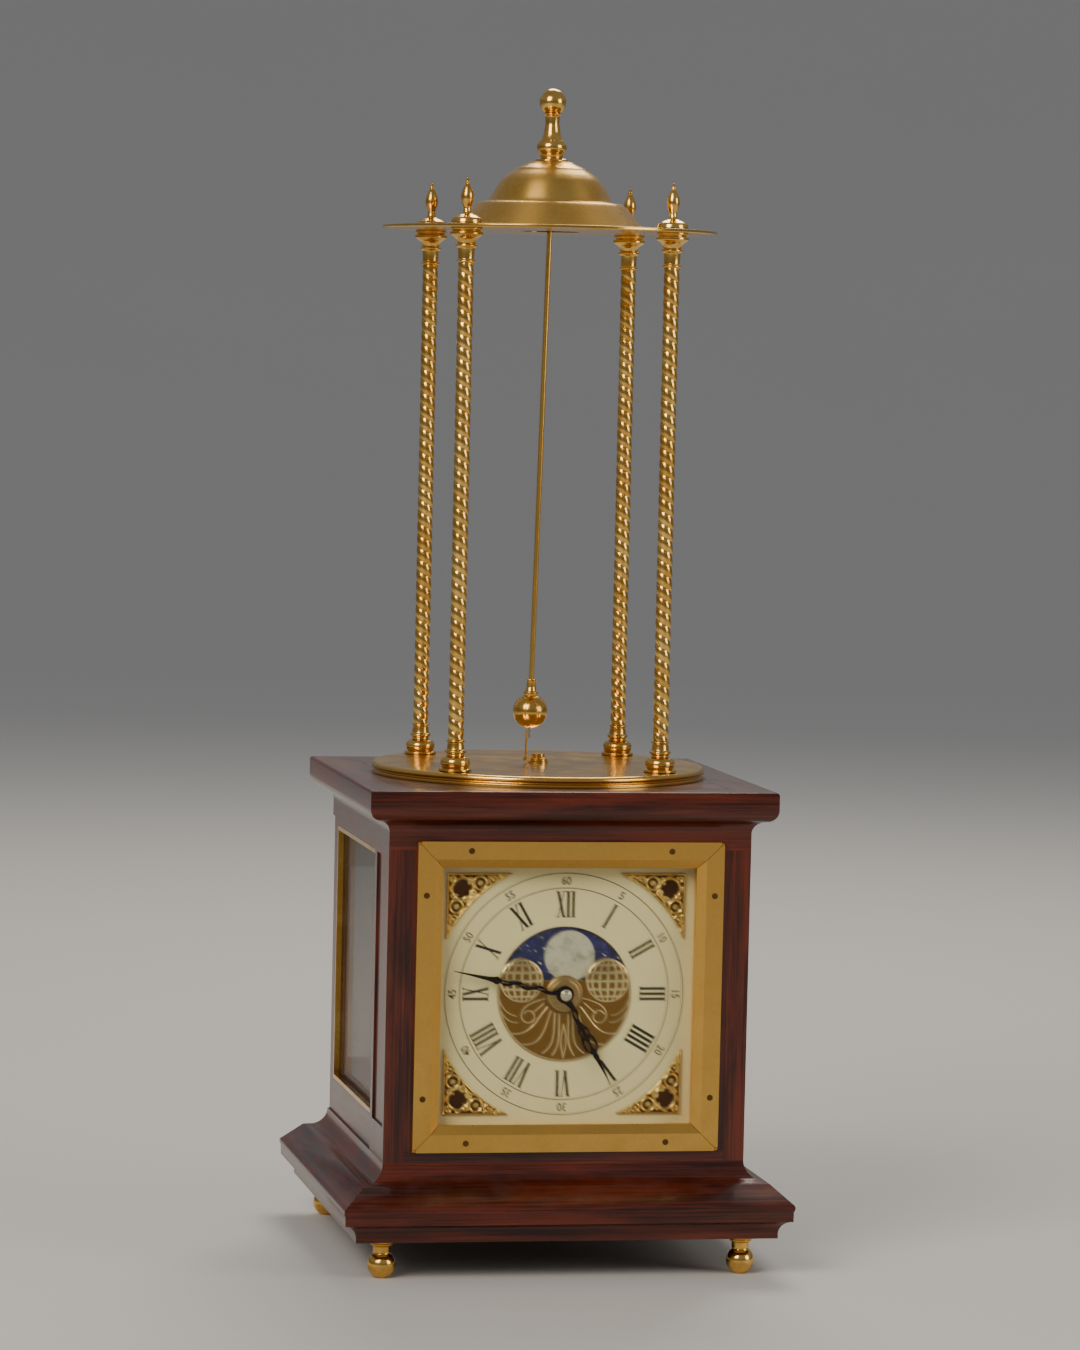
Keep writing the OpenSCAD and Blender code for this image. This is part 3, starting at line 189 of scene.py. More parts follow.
def carried(profile, c, s, loop):
    """A profile of (radius, height) carried round the z axis: each point becomes (r c, r s, z) for every c and s."""
    p = np.asarray(profile, float)
    xyz = np.stack([p[:, :1] * c, p[:, :1] * s, np.repeat(p[:, 1:], len(c), 1)], -1)
    return xyz.reshape(-1, 3), grid(len(p), len(c), True, loop)


def lathe(profile, around, loop=False):
    """A profile turned about the z axis: (r cos a, r sin a, z) for even steps of a."""
    a = around_in(around)
    return carried(profile, np.cos(a), np.sin(a), loop)


def square_frame(profile):
    """A profile of (half width, height) carried round a square: each point becomes four corners (+-h, +-h, z)."""
    return carried(profile, np.array([-1, 1, 1, -1.0]), np.array([-1, -1, 1, 1.0]), True)


def moved(shape, x=0.0, y=0.0, z=0.0):
    """A shape carried along by x, y and z."""
    return shape[0] + [x, y, z], shape[1]


def together(*shapes):
    """Several shapes as one set of points and faces."""
    start = np.cumsum([0] + [len(s[0]) for s in shapes[:-1]])
    return np.vstack([s[0] for s in shapes]), np.vstack([s[1] + k for s, k in zip(shapes, start)])


def copies(shape, places):
    """The same shape at several places."""
    return together(*[moved(shape, *place) for place in places])


def stand(shape, y=DIAL_Y, turn=0.0):
    """A shape drawn flat on the dial, seen from the front, with its height towards the viewer: turned clockwise by
    turn degrees, then (x, z) on the dial at depth y minus height."""
    points, c, s = shape[0], np.cos(np.radians(turn)), np.sin(np.radians(turn))
    return np.column_stack([c * points[:, 0] + s * points[:, 1], y - points[:, 2],
                            DIAL_Z - s * points[:, 0] + c * points[:, 1]]), shape[1]


def hung(shape):
    """A shape about the pendulum's pivot, leaned with it: turned about Y by the lean, then lifted to the pivot."""
    x, y, z = shape[0].T
    c, s = np.cos(np.radians(LEAN)), np.sin(np.radians(LEAN))
    return np.column_stack([x * c + z * s, y, PIVOT_Z - x * s + z * c]), shape[1]


def flat_shape(outlines, half, edge):
    """Flat outlines, filled with their holes left open, that reach half to each side of their plane and have an edge
    rounded to the radius edge, by way of a filled curve."""
    curve = bpy.data.curves.new("outline", "CURVE")
    curve.dimensions, curve.fill_mode = "2D", "BOTH"
    curve.extrude, curve.bevel_depth, curve.bevel_resolution, curve.offset = half - edge, edge, 1, -edge
    for outline in outlines:
        spline = curve.splines.new("POLY")
        spline.points.add(len(outline) - 1)
        spline.points.foreach_set("co", np.column_stack([outline, np.zeros(len(outline)), np.ones(len(outline))])
                                  .astype(np.float32).ravel())
        spline.use_cyclic_u = True
    return evaluated(curve)


def evaluated(curve):
    """The mesh of a curve or text as points and triangles."""
    holder = bpy.data.objects.new("outline", curve)
    bpy.context.scene.collection.objects.link(holder)
    bpy.context.view_layer.update()
    mesh = bpy.data.meshes.new_from_object(holder.evaluated_get(bpy.context.evaluated_depsgraph_get()))
    mesh.calc_loop_triangles()
    points = np.zeros(len(mesh.vertices) * 3, np.float32)
    mesh.vertices.foreach_get("co", points)
    faces = np.zeros(len(mesh.loop_triangles) * 3, np.int32)
    mesh.loop_triangles.foreach_get("vertices", faces)
    bpy.data.objects.remove(holder)
    bpy.data.meshes.remove(mesh)
    return points.reshape(-1, 3).astype(float), faces.reshape(-1, 3)


def prisms(quads, depth):
    """Flat quadrangles, an array of (count, 4, 2), each as a thin block from height 0 to depth."""
    q = np.asarray(quads, float)
    area = 0.5 * np.sum(q[:, :, 0] * np.roll(q[:, :, 1], -1, 1) - np.roll(q[:, :, 0], -1, 1) * q[:, :, 1], 1)
    q = np.where(area[:, None, None] < 0, q[:, ::-1], q)
    low = np.concatenate([q, np.zeros((*q.shape[:2], 1))], 2)
    high = low + [0, 0, depth]
    points = np.concatenate([low, high], 1).reshape(-1, 3)
    block = np.array([[3, 2, 1, 0], [4, 5, 6, 7], [0, 1, 5, 4], [1, 2, 6, 5], [2, 3, 7, 6], [3, 0, 4, 7]])
    return points, (block[None] + 8 * np.arange(len(q))[:, None, None]).reshape(-1, 4)


def wander(start, heading, length_mm, bends, steps):
    """A stroke drawn by its heading: the heading changes by the given degrees per millimetre, one value for each
    equal part of the way, and the place is the running sum of the steps."""
    ds = length_mm / steps
    rate = np.interp(np.linspace(0, 1, steps), np.linspace(0, 1, len(bends)), bends)
    angle = np.radians(heading + np.cumsum(rate) * ds)
    way = np.cumsum(np.column_stack([np.cos(angle), np.sin(angle)]) * ds, 0)
    return np.vstack([[start], np.asarray(start) + way])


def distance_to(path, points):
    """Distance of each point to the nearest sample of a path."""
    return np.sqrt(np.min(np.sum((points[:, None] - path[None]) ** 2, 2), 1))


def bump(distance, width):
    """1 on a line and falling off as the bell curve exp(-(d / width)^2)."""
    return np.exp(-(distance / width) ** 2)


def drawn(strokes, points, width, steps=44):
    """The height at each point of the highest of several strokes: each is a start, a heading, a length, its bends
    and its strength, and stands up as a bump of the given width."""
    return np.max([strength * bump(distance_to(wander(start, heading, far, bends, steps), points), width)
                   for start, heading, far, bends, strength in strokes], 0)


def put(name, shape, finish, node=None, attributes=None):
    """Makes the piece from its points in millimetres and its faces, closes its seams and poles, and puts it in the
    scene. It takes its finish and rides on the body of the node that it stands for. A piece without such a node is
    printed on the dial and rides on the case."""
    points, faces = shape
    mesh = bpy.data.meshes.new(name)
    mesh.from_pydata((points * MM).tolist(), [], faces.tolist())
    for key, values in (attributes or {}).items():
        mesh.attributes.new(key, "FLOAT", "POINT").data.foreach_set("value", values.astype(np.float32))
    work = bmesh.new()
    work.from_mesh(mesh)
    bmesh.ops.remove_doubles(work, verts=work.verts, dist=1e-6)
    bmesh.ops.dissolve_degenerate(work, edges=work.edges, dist=1e-8)
    work.to_mesh(mesh)
    work.free()
    mesh.shade_smooth()
    mesh.set_sharp_from_angle(angle=np.radians(SHARP_ANGLE))
    mesh.materials.append(material(finish))
    piece = bpy.data.objects.new(name, mesh)
    bpy.context.scene.collection.objects.link(piece)
    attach(piece, BODIES[node] if node else "case")
    if node:
        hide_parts(node)


# Nodes

def connect(tree, socket, value):
    """Links a socket to the input, or sets the input to a value; a colour of three numbers is made solid."""
    if isinstance(value, bpy.types.NodeSocket):
        tree.links.new(value, socket)
    elif socket.type == "RGBA" and len(value) == 3:
        socket.default_value = (*value, 1)
    else:
        socket.default_value = value


def fill(tree, node, **inputs):
    """Gives inputs of a node by name, with an underscore for a space, each a value or a socket to link."""
    for key, value in inputs.items():
        connect(tree, node.inputs[key.replace("_", " ")], value)
    return node


def add(tree, kind, settings=None, **inputs):
    """One node with its settings and its inputs."""
    made = tree.nodes.new("ShaderNode" + kind)
    for key, value in (settings or {}).items():
        setattr(made, key, value)
    return fill(tree, made, **inputs)


def calc(tree, operation, *values, kind="Math", out=0):
    """A Math node on numbers or sockets."""
    made = add(tree, kind, {"operation": operation})
    for socket, value in zip(made.inputs, values):
        connect(tree, socket, value)
    return made.outputs[out]


def vector(tree, operation, *values):
    """A Vector Math node on vectors or sockets, with a number as its result."""
    return calc(tree, operation, *values, kind="VectorMath", out="Value")


def apart(tree, a, b):
    """How far two values are apart: the size of a minus b."""
    return calc(tree, "ABSOLUTE", calc(tree, "SUBTRACT", a, b))


def swapped(tree, mask, a, b):
    """Two values as they are where the mask is 0, and each in the other's place where it is 1."""
    return [calc(tree, "MULTIPLY_ADD", mask, calc(tree, "SUBTRACT", q, p), p) for p, q in ((a, b), (b, a))]


def mitre(tree, a, b):
    """For a square frame in a and b: a mask of the sides where a is the larger, and the places along and across."""
    side = calc(tree, "GREATER_THAN", calc(tree, "ABSOLUTE", a), calc(tree, "ABSOLUTE", b))
    return side, *swapped(tree, side, a, b)


def mixed(tree, factor, a, b):
    """Colour a changed to colour b by factor."""
    made = add(tree, "Mix", {"data_type": "RGBA", "clamp_factor": True})
    for index, value in ((0, factor), (6, a), (7, b)):
        connect(tree, made.inputs[index], value)
    return made.outputs[2]


def between(tree, value, low, high, to_low=0.0, to_high=1.0):
    """Value carried from low..high to to_low..to_high, eased and held at both ends."""
    made = add(tree, "MapRange", {"interpolation_type": "SMOOTHSTEP"}, Value=value, From_Min=low, From_Max=high,
               To_Min=to_low, To_Max=to_high)
    return made.outputs["Result"]


def noise(tree, at, scale, detail=3.0, rough=0.5, bend=0.0, stretch=(1, 1, 1)):
    """Noise in millimetres: scale is its cells per millimetre, stretch how much finer it is along each axis."""
    place = add(tree, "Mapping", {"vector_type": "POINT"}, Vector=at, Scale=stretch)
    return add(tree, "TexNoise", None, Vector=place.outputs[0], Scale=scale, Detail=detail, Roughness=rough,
               Distortion=bend).outputs["Fac"]


def millimetres(tree):
    """Object coordinates in millimetres."""
    place = add(tree, "TexCoord").outputs["Object"]
    return add(tree, "VectorMath", {"operation": "SCALE"}, Vector=place, Scale=1 / MM).outputs["Vector"]


def parts(tree, socket):
    """The x, y and z of a vector."""
    return add(tree, "SeparateXYZ", None, Vector=socket).outputs


def joined(tree, x, y, z):
    """A vector of x, y and z."""
    return add(tree, "CombineXYZ", None, X=x, Y=y, Z=z).outputs[0]


def effect(name, inputs, outputs, build):
    """A node group made once: named inputs with defaults, named outputs, and a function that fills it."""
    tree = bpy.data.node_groups.get(name)
    if tree:
        return tree
    tree = bpy.data.node_groups.new(name, "ShaderNodeTree")
    kinds = {"vector": "NodeSocketVector", "value": "NodeSocketFloat", "colour": "NodeSocketColor"}
    for key, (kind, default) in inputs.items():
        socket = tree.interface.new_socket(name=key, in_out="INPUT", socket_type=kinds[kind])
        if default is not None:
            socket.default_value = default
    for key, kind in outputs.items():
        tree.interface.new_socket(name=key, in_out="OUTPUT", socket_type=kinds[kind])
    inside = tree.nodes.new("NodeGroupInput").outputs
    fill(tree, tree.nodes.new("NodeGroupOutput"), **build(tree, inside))
    return tree


def use(tree, group, **inputs):
    """A group placed in a material, with its own values."""
    return add(tree, "Group", {"node_tree": group}, **inputs).outputs


def wood_grain():
    """Streaks long in the first axis, a broad figure across them, and short open pores."""
    def build(t, i):
        at = i["Vector"]
        streak = noise(t, at, 0.75, 5.0, 0.62, 0.5, (0.018, 1, 1))
        figure = noise(t, at, 0.05, 3.0, 0.5, 0.8, (0.22, 1, 1))
        fine = noise(t, at, 3.4, 2.0, 0.6, 0.0, (0.03, 1, 1))
        pores = between(t, noise(t, at, 2.3, 2.0, 0.6, 0.0, (0.07, 1, 1)), 0.60, 0.70)
        tone = calc(t, "ADD", calc(t, "MULTIPLY", streak, 0.5), calc(t, "MULTIPLY", figure, 0.5))
        tone = between(t, calc(t, "MULTIPLY_ADD", fine, 0.12, tone), 0.40, 0.72)
        base = mixed(t, tone, i["Dark"], i["Light"])
        return {"Color": mixed(t, calc(t, "MULTIPLY", pores, 0.45), base, i["Dark"]),
                "Tone": tone,
                "Height": calc(t, "SUBTRACT", calc(t, "MULTIPLY", streak, 0.25), calc(t, "MULTIPLY", pores, 0.6))}
    return effect("wood_grain", {"Vector": ("vector", None), "Dark": ("colour", (0, 0, 0, 1)),
                                 "Light": ("colour", (1, 1, 1, 1))},
                  {"Color": "colour", "Tone": "value", "Height": "value"}, build)


def metal_wear():
    """Cloudy toning, and fine scratches that run along the first axis."""
    def build(t, i):
        at = i["Vector"]
        cloud = noise(t, at, 0.045, 4.0, 0.55, 0.6)
        small = noise(t, at, 0.4, 3.0, 0.6)
        tone = between(t, calc(t, "MULTIPLY_ADD", small, 0.35, calc(t, "MULTIPLY", cloud, 0.8)), 0.40, 0.75)
        lines = noise(t, at, 4.0, 3.0, 0.7, 0.0, (0.03, 1, 1))
        return {"Tone": tone, "Lines": between(t, lines, 0.35, 0.70)}
    return effect("metal_wear", {"Vector": ("vector", None)}, {"Tone": "value", "Lines": "value"}, build)


def settled_dust():
    """A thin dust on what faces up, in soft clouds."""
    def build(t, i):
        up = parts(t, add(t, "NewGeometry").outputs["Normal"])[2]
        cloud = between(t, noise(t, i["Vector"], 0.08, 4.0, 0.6), 0.35, 0.75)
        return {"Mask": calc(t, "MULTIPLY", calc(t, "MULTIPLY", between(t, up, 0.55, 1.0), cloud), i["Amount"])}
    return effect("settled_dust", {"Vector": ("vector", None), "Amount": ("value", 0.1)}, {"Mask": "value"}, build)


# Materials

def blank(name, **values):
    """A new material with its shader: constant values are set on the shader's own sockets."""
    made = bpy.data.materials.new(name)
    made.use_nodes = True
    tree = made.node_tree
    tree.nodes.clear()
    shader = add(tree, "BsdfPrincipled", None, **values)
    add(tree, "OutputMaterial", None, Surface=shader.outputs[0])
    return made, tree, shader


def raised(tree, shader, height, depth, strength):
    """Turns a height into the shader's normal; depth is the height's full depth in millimetres."""
    fill(tree, shader, Normal=add(tree, "Bump", None, Strength=strength, Distance=depth * MM, Height=height).outputs[0])


# How far into the wood the level rails of a frame and the sides of a moulding lie, so that they are other planks
RAIL_SHIFT, SIDE_SHIFT = 41.0, 37.0


def mahogany(name, opening=None, mitred=False):
    """Varnished mahogany. The grain runs along X, or round a moulding with a joint at each corner. A frame gives
    its opening, as the axis along it, the middle and half width there, and the lower and upper height: its grain
    runs up, and level in the rails, which lie between the stiles, over and under the opening."""
    look = bpy.context.scene.clock_wood
    made, t, shader = blank(name, Coat_Weight=look.gloss, Coat_Roughness=0.10, Coat_IOR=1.5, IOR=1.45,
                            Specular_IOR_Level=0.30)
    at = millimetres(t)
    x, y, z = parts(t, at)
    if opening:
        axis, middle, half, low, high = opening
        level, deep = (x, y) if axis == "X" else (y, x)
        inside = calc(t, "LESS_THAN", apart(t, level, middle), half)
        beyond = calc(t, "GREATER_THAN", apart(t, z, (low + high) / 2), (high - low) / 2)
        rail = calc(t, "MULTIPLY", inside, beyond)
        at = joined(t, *swapped(t, rail, z, level), calc(t, "MULTIPLY_ADD", rail, RAIL_SHIFT, deep))
    elif mitred:
        side, along, across = mitre(t, x, y)
        at = joined(t, along, calc(t, "MULTIPLY_ADD", side, SIDE_SHIFT, across), z)
    wood = use(t, wood_grain(), Vector=at, Dark=look.dark, Light=look.light)
    dust = use(t, settled_dust(), Vector=at, Amount=0.05)["Mask"]
    rough = calc(t, "MULTIPLY_ADD", wood["Tone"], 0.10, 0.30)
    fill(t, shader, Base_Color=mixed(t, dust, wood["Color"], (0.30, 0.27, 0.24)),
         Roughness=calc(t, "MULTIPLY_ADD", dust, 0.4, rough))
    raised(t, shader, wood["Height"], 0.05, 0.35)
    return made


def plain_board(name):
    """Unpolished boards inside the case."""
    light = bpy.context.scene.clock_wood.board
    made, t, shader = blank(name, IOR=1.4)
    wood = use(t, wood_grain(), Vector=millimetres(t), Dark=light * 0.55, Light=light)
    fill(t, shader, Base_Color=wood["Color"], Roughness=calc(t, "MULTIPLY_ADD", wood["Tone"], 0.12, 0.60))
    raised(t, shader, wood["Height"], 0.1, 0.5)
    return made


# Each kind of brass: its roughness as a share of the polished brass's, how much rougher it is where it has toned, the
# depth of its lines in millimetres, and its brightness from the most toned place to the brightest
BRASS_KINDS = {"polished": (1.0, 0.10, 0.004, 0.25, 0.95), "turned": (0.85, 0.08, 0.006, 0.10, 1.0),
               "spun": (1.7, 0.06, 0.004, 0.30, 0.75), "faced": (0.9, 0.06, 0.004, 0.42, 0.88),
               "brushed": (1.6875, 0.12, 0.010, 0.30, 0.52), "movement": (1.875, 0.10, 0.008, 0.10, 1.0)}


def brass(name, kind):
    """Brass: polished sheet, turned in the lathe, spun or faced round the middle of the clock, brushed along the
    sides of the bezel with a joint at each corner, or finely grained in the movement."""
    look = bpy.context.scene.clock_brass
    share_of_rough, spread, depth, low, high = BRASS_KINDS[kind]
    made, t, shader = blank(name, Metallic=1.0)
    at = millimetres(t)
    x, y, z = parts(t, at)
    at_lines = at
    if kind == "turned":
        at_lines = joined(t, calc(t, "ADD", x, y), z, z)
    elif kind in ("spun", "faced"):
        at_lines = joined(t, 0.0, vector(t, "LENGTH", joined(t, x, y, 0.0)), z)
    elif kind == "brushed":
        up = calc(t, "SUBTRACT", z, DIAL_Z)
        _, along, across = mitre(t, x, up)
        at_lines = joined(t, along, across, y)
    elif kind == "movement":
        at_lines = joined(t, z, x, y)
    if kind == "spun":
        round_z = add(t, "Tangent", {"direction_type": "RADIAL", "axis": "Z"}).outputs[0]
        fill(t, shader, Anisotropic=0.7, Anisotropic_Rotation=0.25, Tangent=round_z)
    wear = use(t, metal_wear(), Vector=at)
    lines = use(t, metal_wear(), Vector=at_lines)["Lines"]
    dust = use(t, settled_dust(), Vector=at, Amount=0.10)["Mask"]
    tone = mixed(t, calc(t, "MULTIPLY_ADD", wear["Tone"], high - low, low), look.aged, look.bright)
    if kind == "brushed":
        joint = apart(t, calc(t, "ABSOLUTE", x), calc(t, "ABSOLUTE", up))
        tone = mixed(t, between(t, joint, 0.12, 0.34, 0.75, 0.0), tone, look.recess)
    tone = mixed(t, calc(t, "MULTIPLY", lines, 0.16), tone, look.aged)
    rough = calc(t, "MULTIPLY_ADD", calc(t, "SUBTRACT", 1.0, wear["Tone"]), spread, look.roughness * share_of_rough)
    fill(t, shader, Base_Color=mixed(t, dust, tone, (0.35, 0.31, 0.24)),
         Roughness=calc(t, "MULTIPLY_ADD", dust, 0.5, rough))
    raised(t, shader, lines, depth, 0.5)
    return made


def relief_brass(name, key):
    """Cast or engraved brass: dark in the recesses and bright on the high spots, by the piece's attribute."""
    look = bpy.context.scene.clock_brass
    made, t, shader = blank(name, Metallic=1.0)
    height = add(t, "Attribute", {"attribute_name": key}).outputs["Fac"]
    grain = noise(t, millimetres(t), 1.6, 4.0, 0.7)
    up = calc(t, "ADD", height, calc(t, "MULTIPLY", calc(t, "SUBTRACT", grain, 0.5), 0.5))
    if key == "relief":
        low, high, ground, crest = 0.05, 0.64, look.recess, look.bright
    else:
        low, high, ground, crest = 0.20, 0.85, look.recess * 0.6 + look.aged * 0.4, (0.96, 0.74, 0.38)
    fill(t, shader, Base_Color=mixed(t, between(t, up, low, high), ground, crest),
         Roughness=between(t, up, 0.1, 0.9, 0.42, 0.20))
    raised(t, shader, grain, 0.05, 0.5)
    return made


def cream_dial(name):
    """Printed dial: a faint mottling and a little toning towards the edge, and plain brass behind."""
    look, brass_look = bpy.context.scene.clock_dial, bpy.context.scene.clock_brass
    made, t, shader = blank(name, IOR=1.45, Coat_Weight=0.15, Coat_Roughness=0.25)
    at = millimetres(t)
    x, y, z = parts(t, at)
    cloud = between(t, noise(t, at, 0.05, 4.0, 0.6), 0.3, 0.8)
    fine = noise(t, at, 1.2, 3.0, 0.6)
    ground = mixed(t, calc(t, "MULTIPLY", cloud, 0.35), look.ground, look.ground * 0.86)
    far = vector(t, "LENGTH", joined(t, x, 0.0, calc(t, "SUBTRACT", z, DIAL_Z)))
    ground = mixed(t, between(t, far, 55.0, 105.0, 0.0, 0.30), ground, (0.60, 0.42, 0.17))
    ground = mixed(t, between(t, fine, 0.55, 0.8, 0.0, 0.10), ground, (0.45, 0.33, 0.16))
    behind = calc(t, "GREATER_THAN", y, DIAL_Y + 0.8)
    fill(t, shader, Base_Color=mixed(t, behind, ground, brass_look.aged), Metallic=behind,
         Roughness=calc(t, "MULTIPLY_ADD", fine, 0.12, 0.38))
    raised(t, shader, fine, 0.01, 0.3)
    return made


def printed_ink(name):
    """Ink, a little thinner in places."""
    made, t, shader = blank(name, IOR=1.45)
    fine = noise(t, millimetres(t), 0.9, 4.0, 0.6)
    thin = between(t, fine, 0.5, 0.85, 0.0, 0.22)
    fill(t, shader, Base_Color=mixed(t, thin, bpy.context.scene.clock_dial.ink, (0.10, 0.075, 0.045)),
         Roughness=calc(t, "MULTIPLY_ADD", fine, 0.15, 0.40))
    return made


def moon_paint(name):
    """The night sky with small stars and two moons opposite each other, and the brass wheel behind."""
    look, brass_look = bpy.context.scene.clock_dial, bpy.context.scene.clock_brass
    moon_at, moon_radius, turned_by = 21.6, 14.4, np.radians(-8.0)
    made, t, shader = blank(name, IOR=1.45)
    x, y, z = parts(t, millimetres(t))
    flat = joined(t, x, 0.0, calc(t, "SUBTRACT", z, DIAL_Z))
    cloud = noise(t, flat, 0.09, 4.0, 0.6)
    sky = mixed(t, between(t, cloud, 0.35, 0.75), look.sky, (0.034, 0.026, 0.15))
    for cells, size, tint in ((0.30, 0.19, (0.95, 0.90, 0.70)), (0.62, 0.17, (0.60, 0.62, 0.85))):
        star = add(t, "TexVoronoi", {"feature": "F1"}, Vector=flat, Scale=cells)
        sky = mixed(t, between(t, star.outputs["Distance"], size, size * 0.45), sky, tint)
    grey = calc(t, "MULTIPLY_ADD", noise(t, flat, 0.35, 3.0, 0.6), 0.3, noise(t, flat, 0.13, 3.0, 0.6, 0.8))
    moon = mixed(t, between(t, grey, 0.60, 0.85), look.moon, look.moon * 0.62)
    turned = add(t, "VectorRotate", {"rotation_type": "Y_AXIS"}, Vector=flat, Angle=turned_by)
    across, _, along = parts(t, turned.outputs[0])
    near = vector(t, "DISTANCE", joined(t, across, 0.0, calc(t, "ABSOLUTE", along)), (0.0, 0.0, moon_at))
    paint = mixed(t, between(t, near, moon_radius + 0.15, moon_radius - 0.15), sky, moon)
    behind = calc(t, "GREATER_THAN", y, DIAL_Y + 2.2)
    fill(t, shader, Base_Color=mixed(t, behind, paint, brass_look.aged), Metallic=behind,
         Roughness=calc(t, "MULTIPLY_ADD", cloud, 0.15, 0.33))
    return made


def metal(name, base, worn, rough):
    """Steel, blackened steel or the pale cap: clouds and fine scratches between two colours."""
    made, t, shader = blank(name, Metallic=1.0)
    wear = use(t, metal_wear(), Vector=millimetres(t))
    fill(t, shader, Base_Color=mixed(t, calc(t, "MULTIPLY", wear["Tone"], 0.6), base, worn),
         Roughness=calc(t, "MULTIPLY_ADD", wear["Lines"], 0.12, rough))
    raised(t, shader, wear["Lines"], 0.004, 0.4)
    return made


def clear_glass(name):
    """Flat glass with the faintest smears, over half of it plain see-through, so that it mirrors the pale room less.
    Light on its way to a lamp goes through it."""
    tint, see_through = (0.93, 0.96, 0.95), 0.72
    made, t, shader = blank(name, Base_Color=tint, Transmission_Weight=1.0, IOR=1.45, Metallic=0.0)
    smear = noise(t, millimetres(t), 0.03, 4.0, 0.6, 0.0, (1, 1, 3))
    fill(t, shader, Roughness=between(t, smear, 0.4, 0.8, 0.0, 0.035))
    share_through = calc(t, "MAXIMUM", add(t, "LightPath").outputs["Is Shadow Ray"], see_through)
    through = add(t, "BsdfTransparent", None, Color=tint)
    mix = add(t, "MixShader")
    for socket, value in zip(mix.inputs, (share_through, shader.outputs[0], through.outputs[0])):
        connect(t, socket, value)
    fill(t, next(node for node in t.nodes if node.type == "OUTPUT_MATERIAL"), Surface=mix.outputs[0])
    return made


def pale_floor(name):
    """The plain pale floor, with the slightest unevenness."""
    floor = bpy.context.scene.clock_studio.floor
    made, t, shader = blank(name, IOR=1.4, Specular_IOR_Level=0.25)
    cloud = noise(t, millimetres(t), 0.002)
    fill(t, shader, Base_Color=mixed(t, calc(t, "MULTIPLY", cloud, 0.12), floor, floor * 0.85),
         Roughness=calc(t, "MULTIPLY_ADD", cloud, 0.1, 0.62))
    return made


# Each finish: the function that makes it, and what the function is told
FINISHES = {
    "mahogany_front": (mahogany, ("X", 0.0, 91.5, 70.5, 245.5)),
    "mahogany_side": (mahogany, ("Y", 20.0, 72.0, 84.0, 235.5)),
    "mahogany_back": (mahogany, ("X", 0.0, 78.0, 76.5, 228.5)),
    "mahogany_door": (mahogany, ("X", 0.0, 59.4, 95.1, 209.9)),
    "mahogany_moulding": (mahogany, None, True),
    "mahogany_top": (mahogany,),
    "plain_board": (plain_board,),
    "polished_brass": (brass, "polished"),
    "turned_brass": (brass, "turned"),
    "spun_brass": (brass, "spun"),
    "faced_brass": (brass, "faced"),
    "brushed_brass": (brass, "brushed"),
    "movement_brass": (brass, "movement"),
    "cast_brass": (relief_brass, "relief"),
    "engraved_gilt": (relief_brass, "line"),
    "cream_dial": (cream_dial,),
    "printed_ink": (printed_ink,),
    "moon_paint": (moon_paint,),
    "black_hands": (metal, (0.016, 0.009, 0.006), (0.060, 0.026, 0.014), 0.30),
    "hand_collet": (metal, (0.80, 0.70, 0.50), (0.62, 0.52, 0.36), 0.20),
    "steel": (metal, (0.56, 0.55, 0.52), (0.40, 0.38, 0.34), 0.24),
    "dark_steel": (metal, (0.20, 0.10, 0.035), (0.10, 0.05, 0.02), 0.35),
    "clear_glass": (clear_glass,),
    "pale_floor": (pale_floor,),
}


def material(name):
    """The named finish, made the first time it is asked for."""
    full = "clock_" + name
    maker, *told = FINISHES[name]
    return bpy.data.materials.get(full) or maker(full, *told)


def dress(node, finish):
    """Gives a node of the frame its finish, in every slot of its mesh."""
    mesh = frame["nodes"][node].data
    if not mesh.materials:
        mesh.materials.append(material(finish))
    for index in range(len(mesh.materials)):
        mesh.materials[index] = material(finish)


# Pieces

class CLOCK_OT_nodes(bpy.types.Operator):
    """Gives every solid of the frame its wood, brass, steel, glass or paint"""
    bl_idname = "clock.nodes"
    bl_label = "Finishes of the solids"

    def execute(self, context):
        special = {"case_front": "mahogany_front", "case_left": "mahogany_side", "case_right": "mahogany_side",
                   "case_back": "mahogany_back", "back_door": "mahogany_door", "plinth": "mahogany_moulding",
                   "cornice": "mahogany_moulding", "top_board": "mahogany_top", "bezel": "brushed_brass"}
        for node, slot in SLOTS.items():
            dress(node, special.get(node, slot))
        return {"FINISHED"}


class CLOCK_OT_mouldings(bpy.types.Operator):
    """Plinth and cornice: their profiles carried round a square with a mitre at each corner"""
    bl_idname = "clock.mouldings"
    bl_label = "Plinth and cornice"

    def execute(self, context):
        outer = np.vstack([
            [[88.0, 0], [120.5, 0]], arc((128.5, 2.52), 8, 180, 96, 16),
            arc((125.5, 18.14), 3, -40, 60, 12), [[116.34, 30.16]],
            arc((114.84, 42), 11.34, 270, 180, 24), [[103.5, 42], [88.0, 42]]])
        put("plinth_moulding", moved(square_frame(outer), z=PLINTH_Z), "mahogany_moulding", "plinth")
        ogee = 12.8 * 0.55
        outer = np.vstack([
            [[88.0, 0], [103.5, 0], [103.5, 1]], arc((103.5 + ogee, 23.8 - 2 * ogee), ogee, 180, 110, 16),
            arc((116.3 - ogee, 23.8), ogee, -70, 0, 16), arc((114.5, 32.2), 1.8, 0, 90, 10),
            [[91.7, 34], [91.7, 22], [88.0, 22]]])
        put("cornice_moulding", moved(square_frame(outer), z=CORNICE_Z), "mahogany_moulding", "cornice")
        return {"FINISHED"}


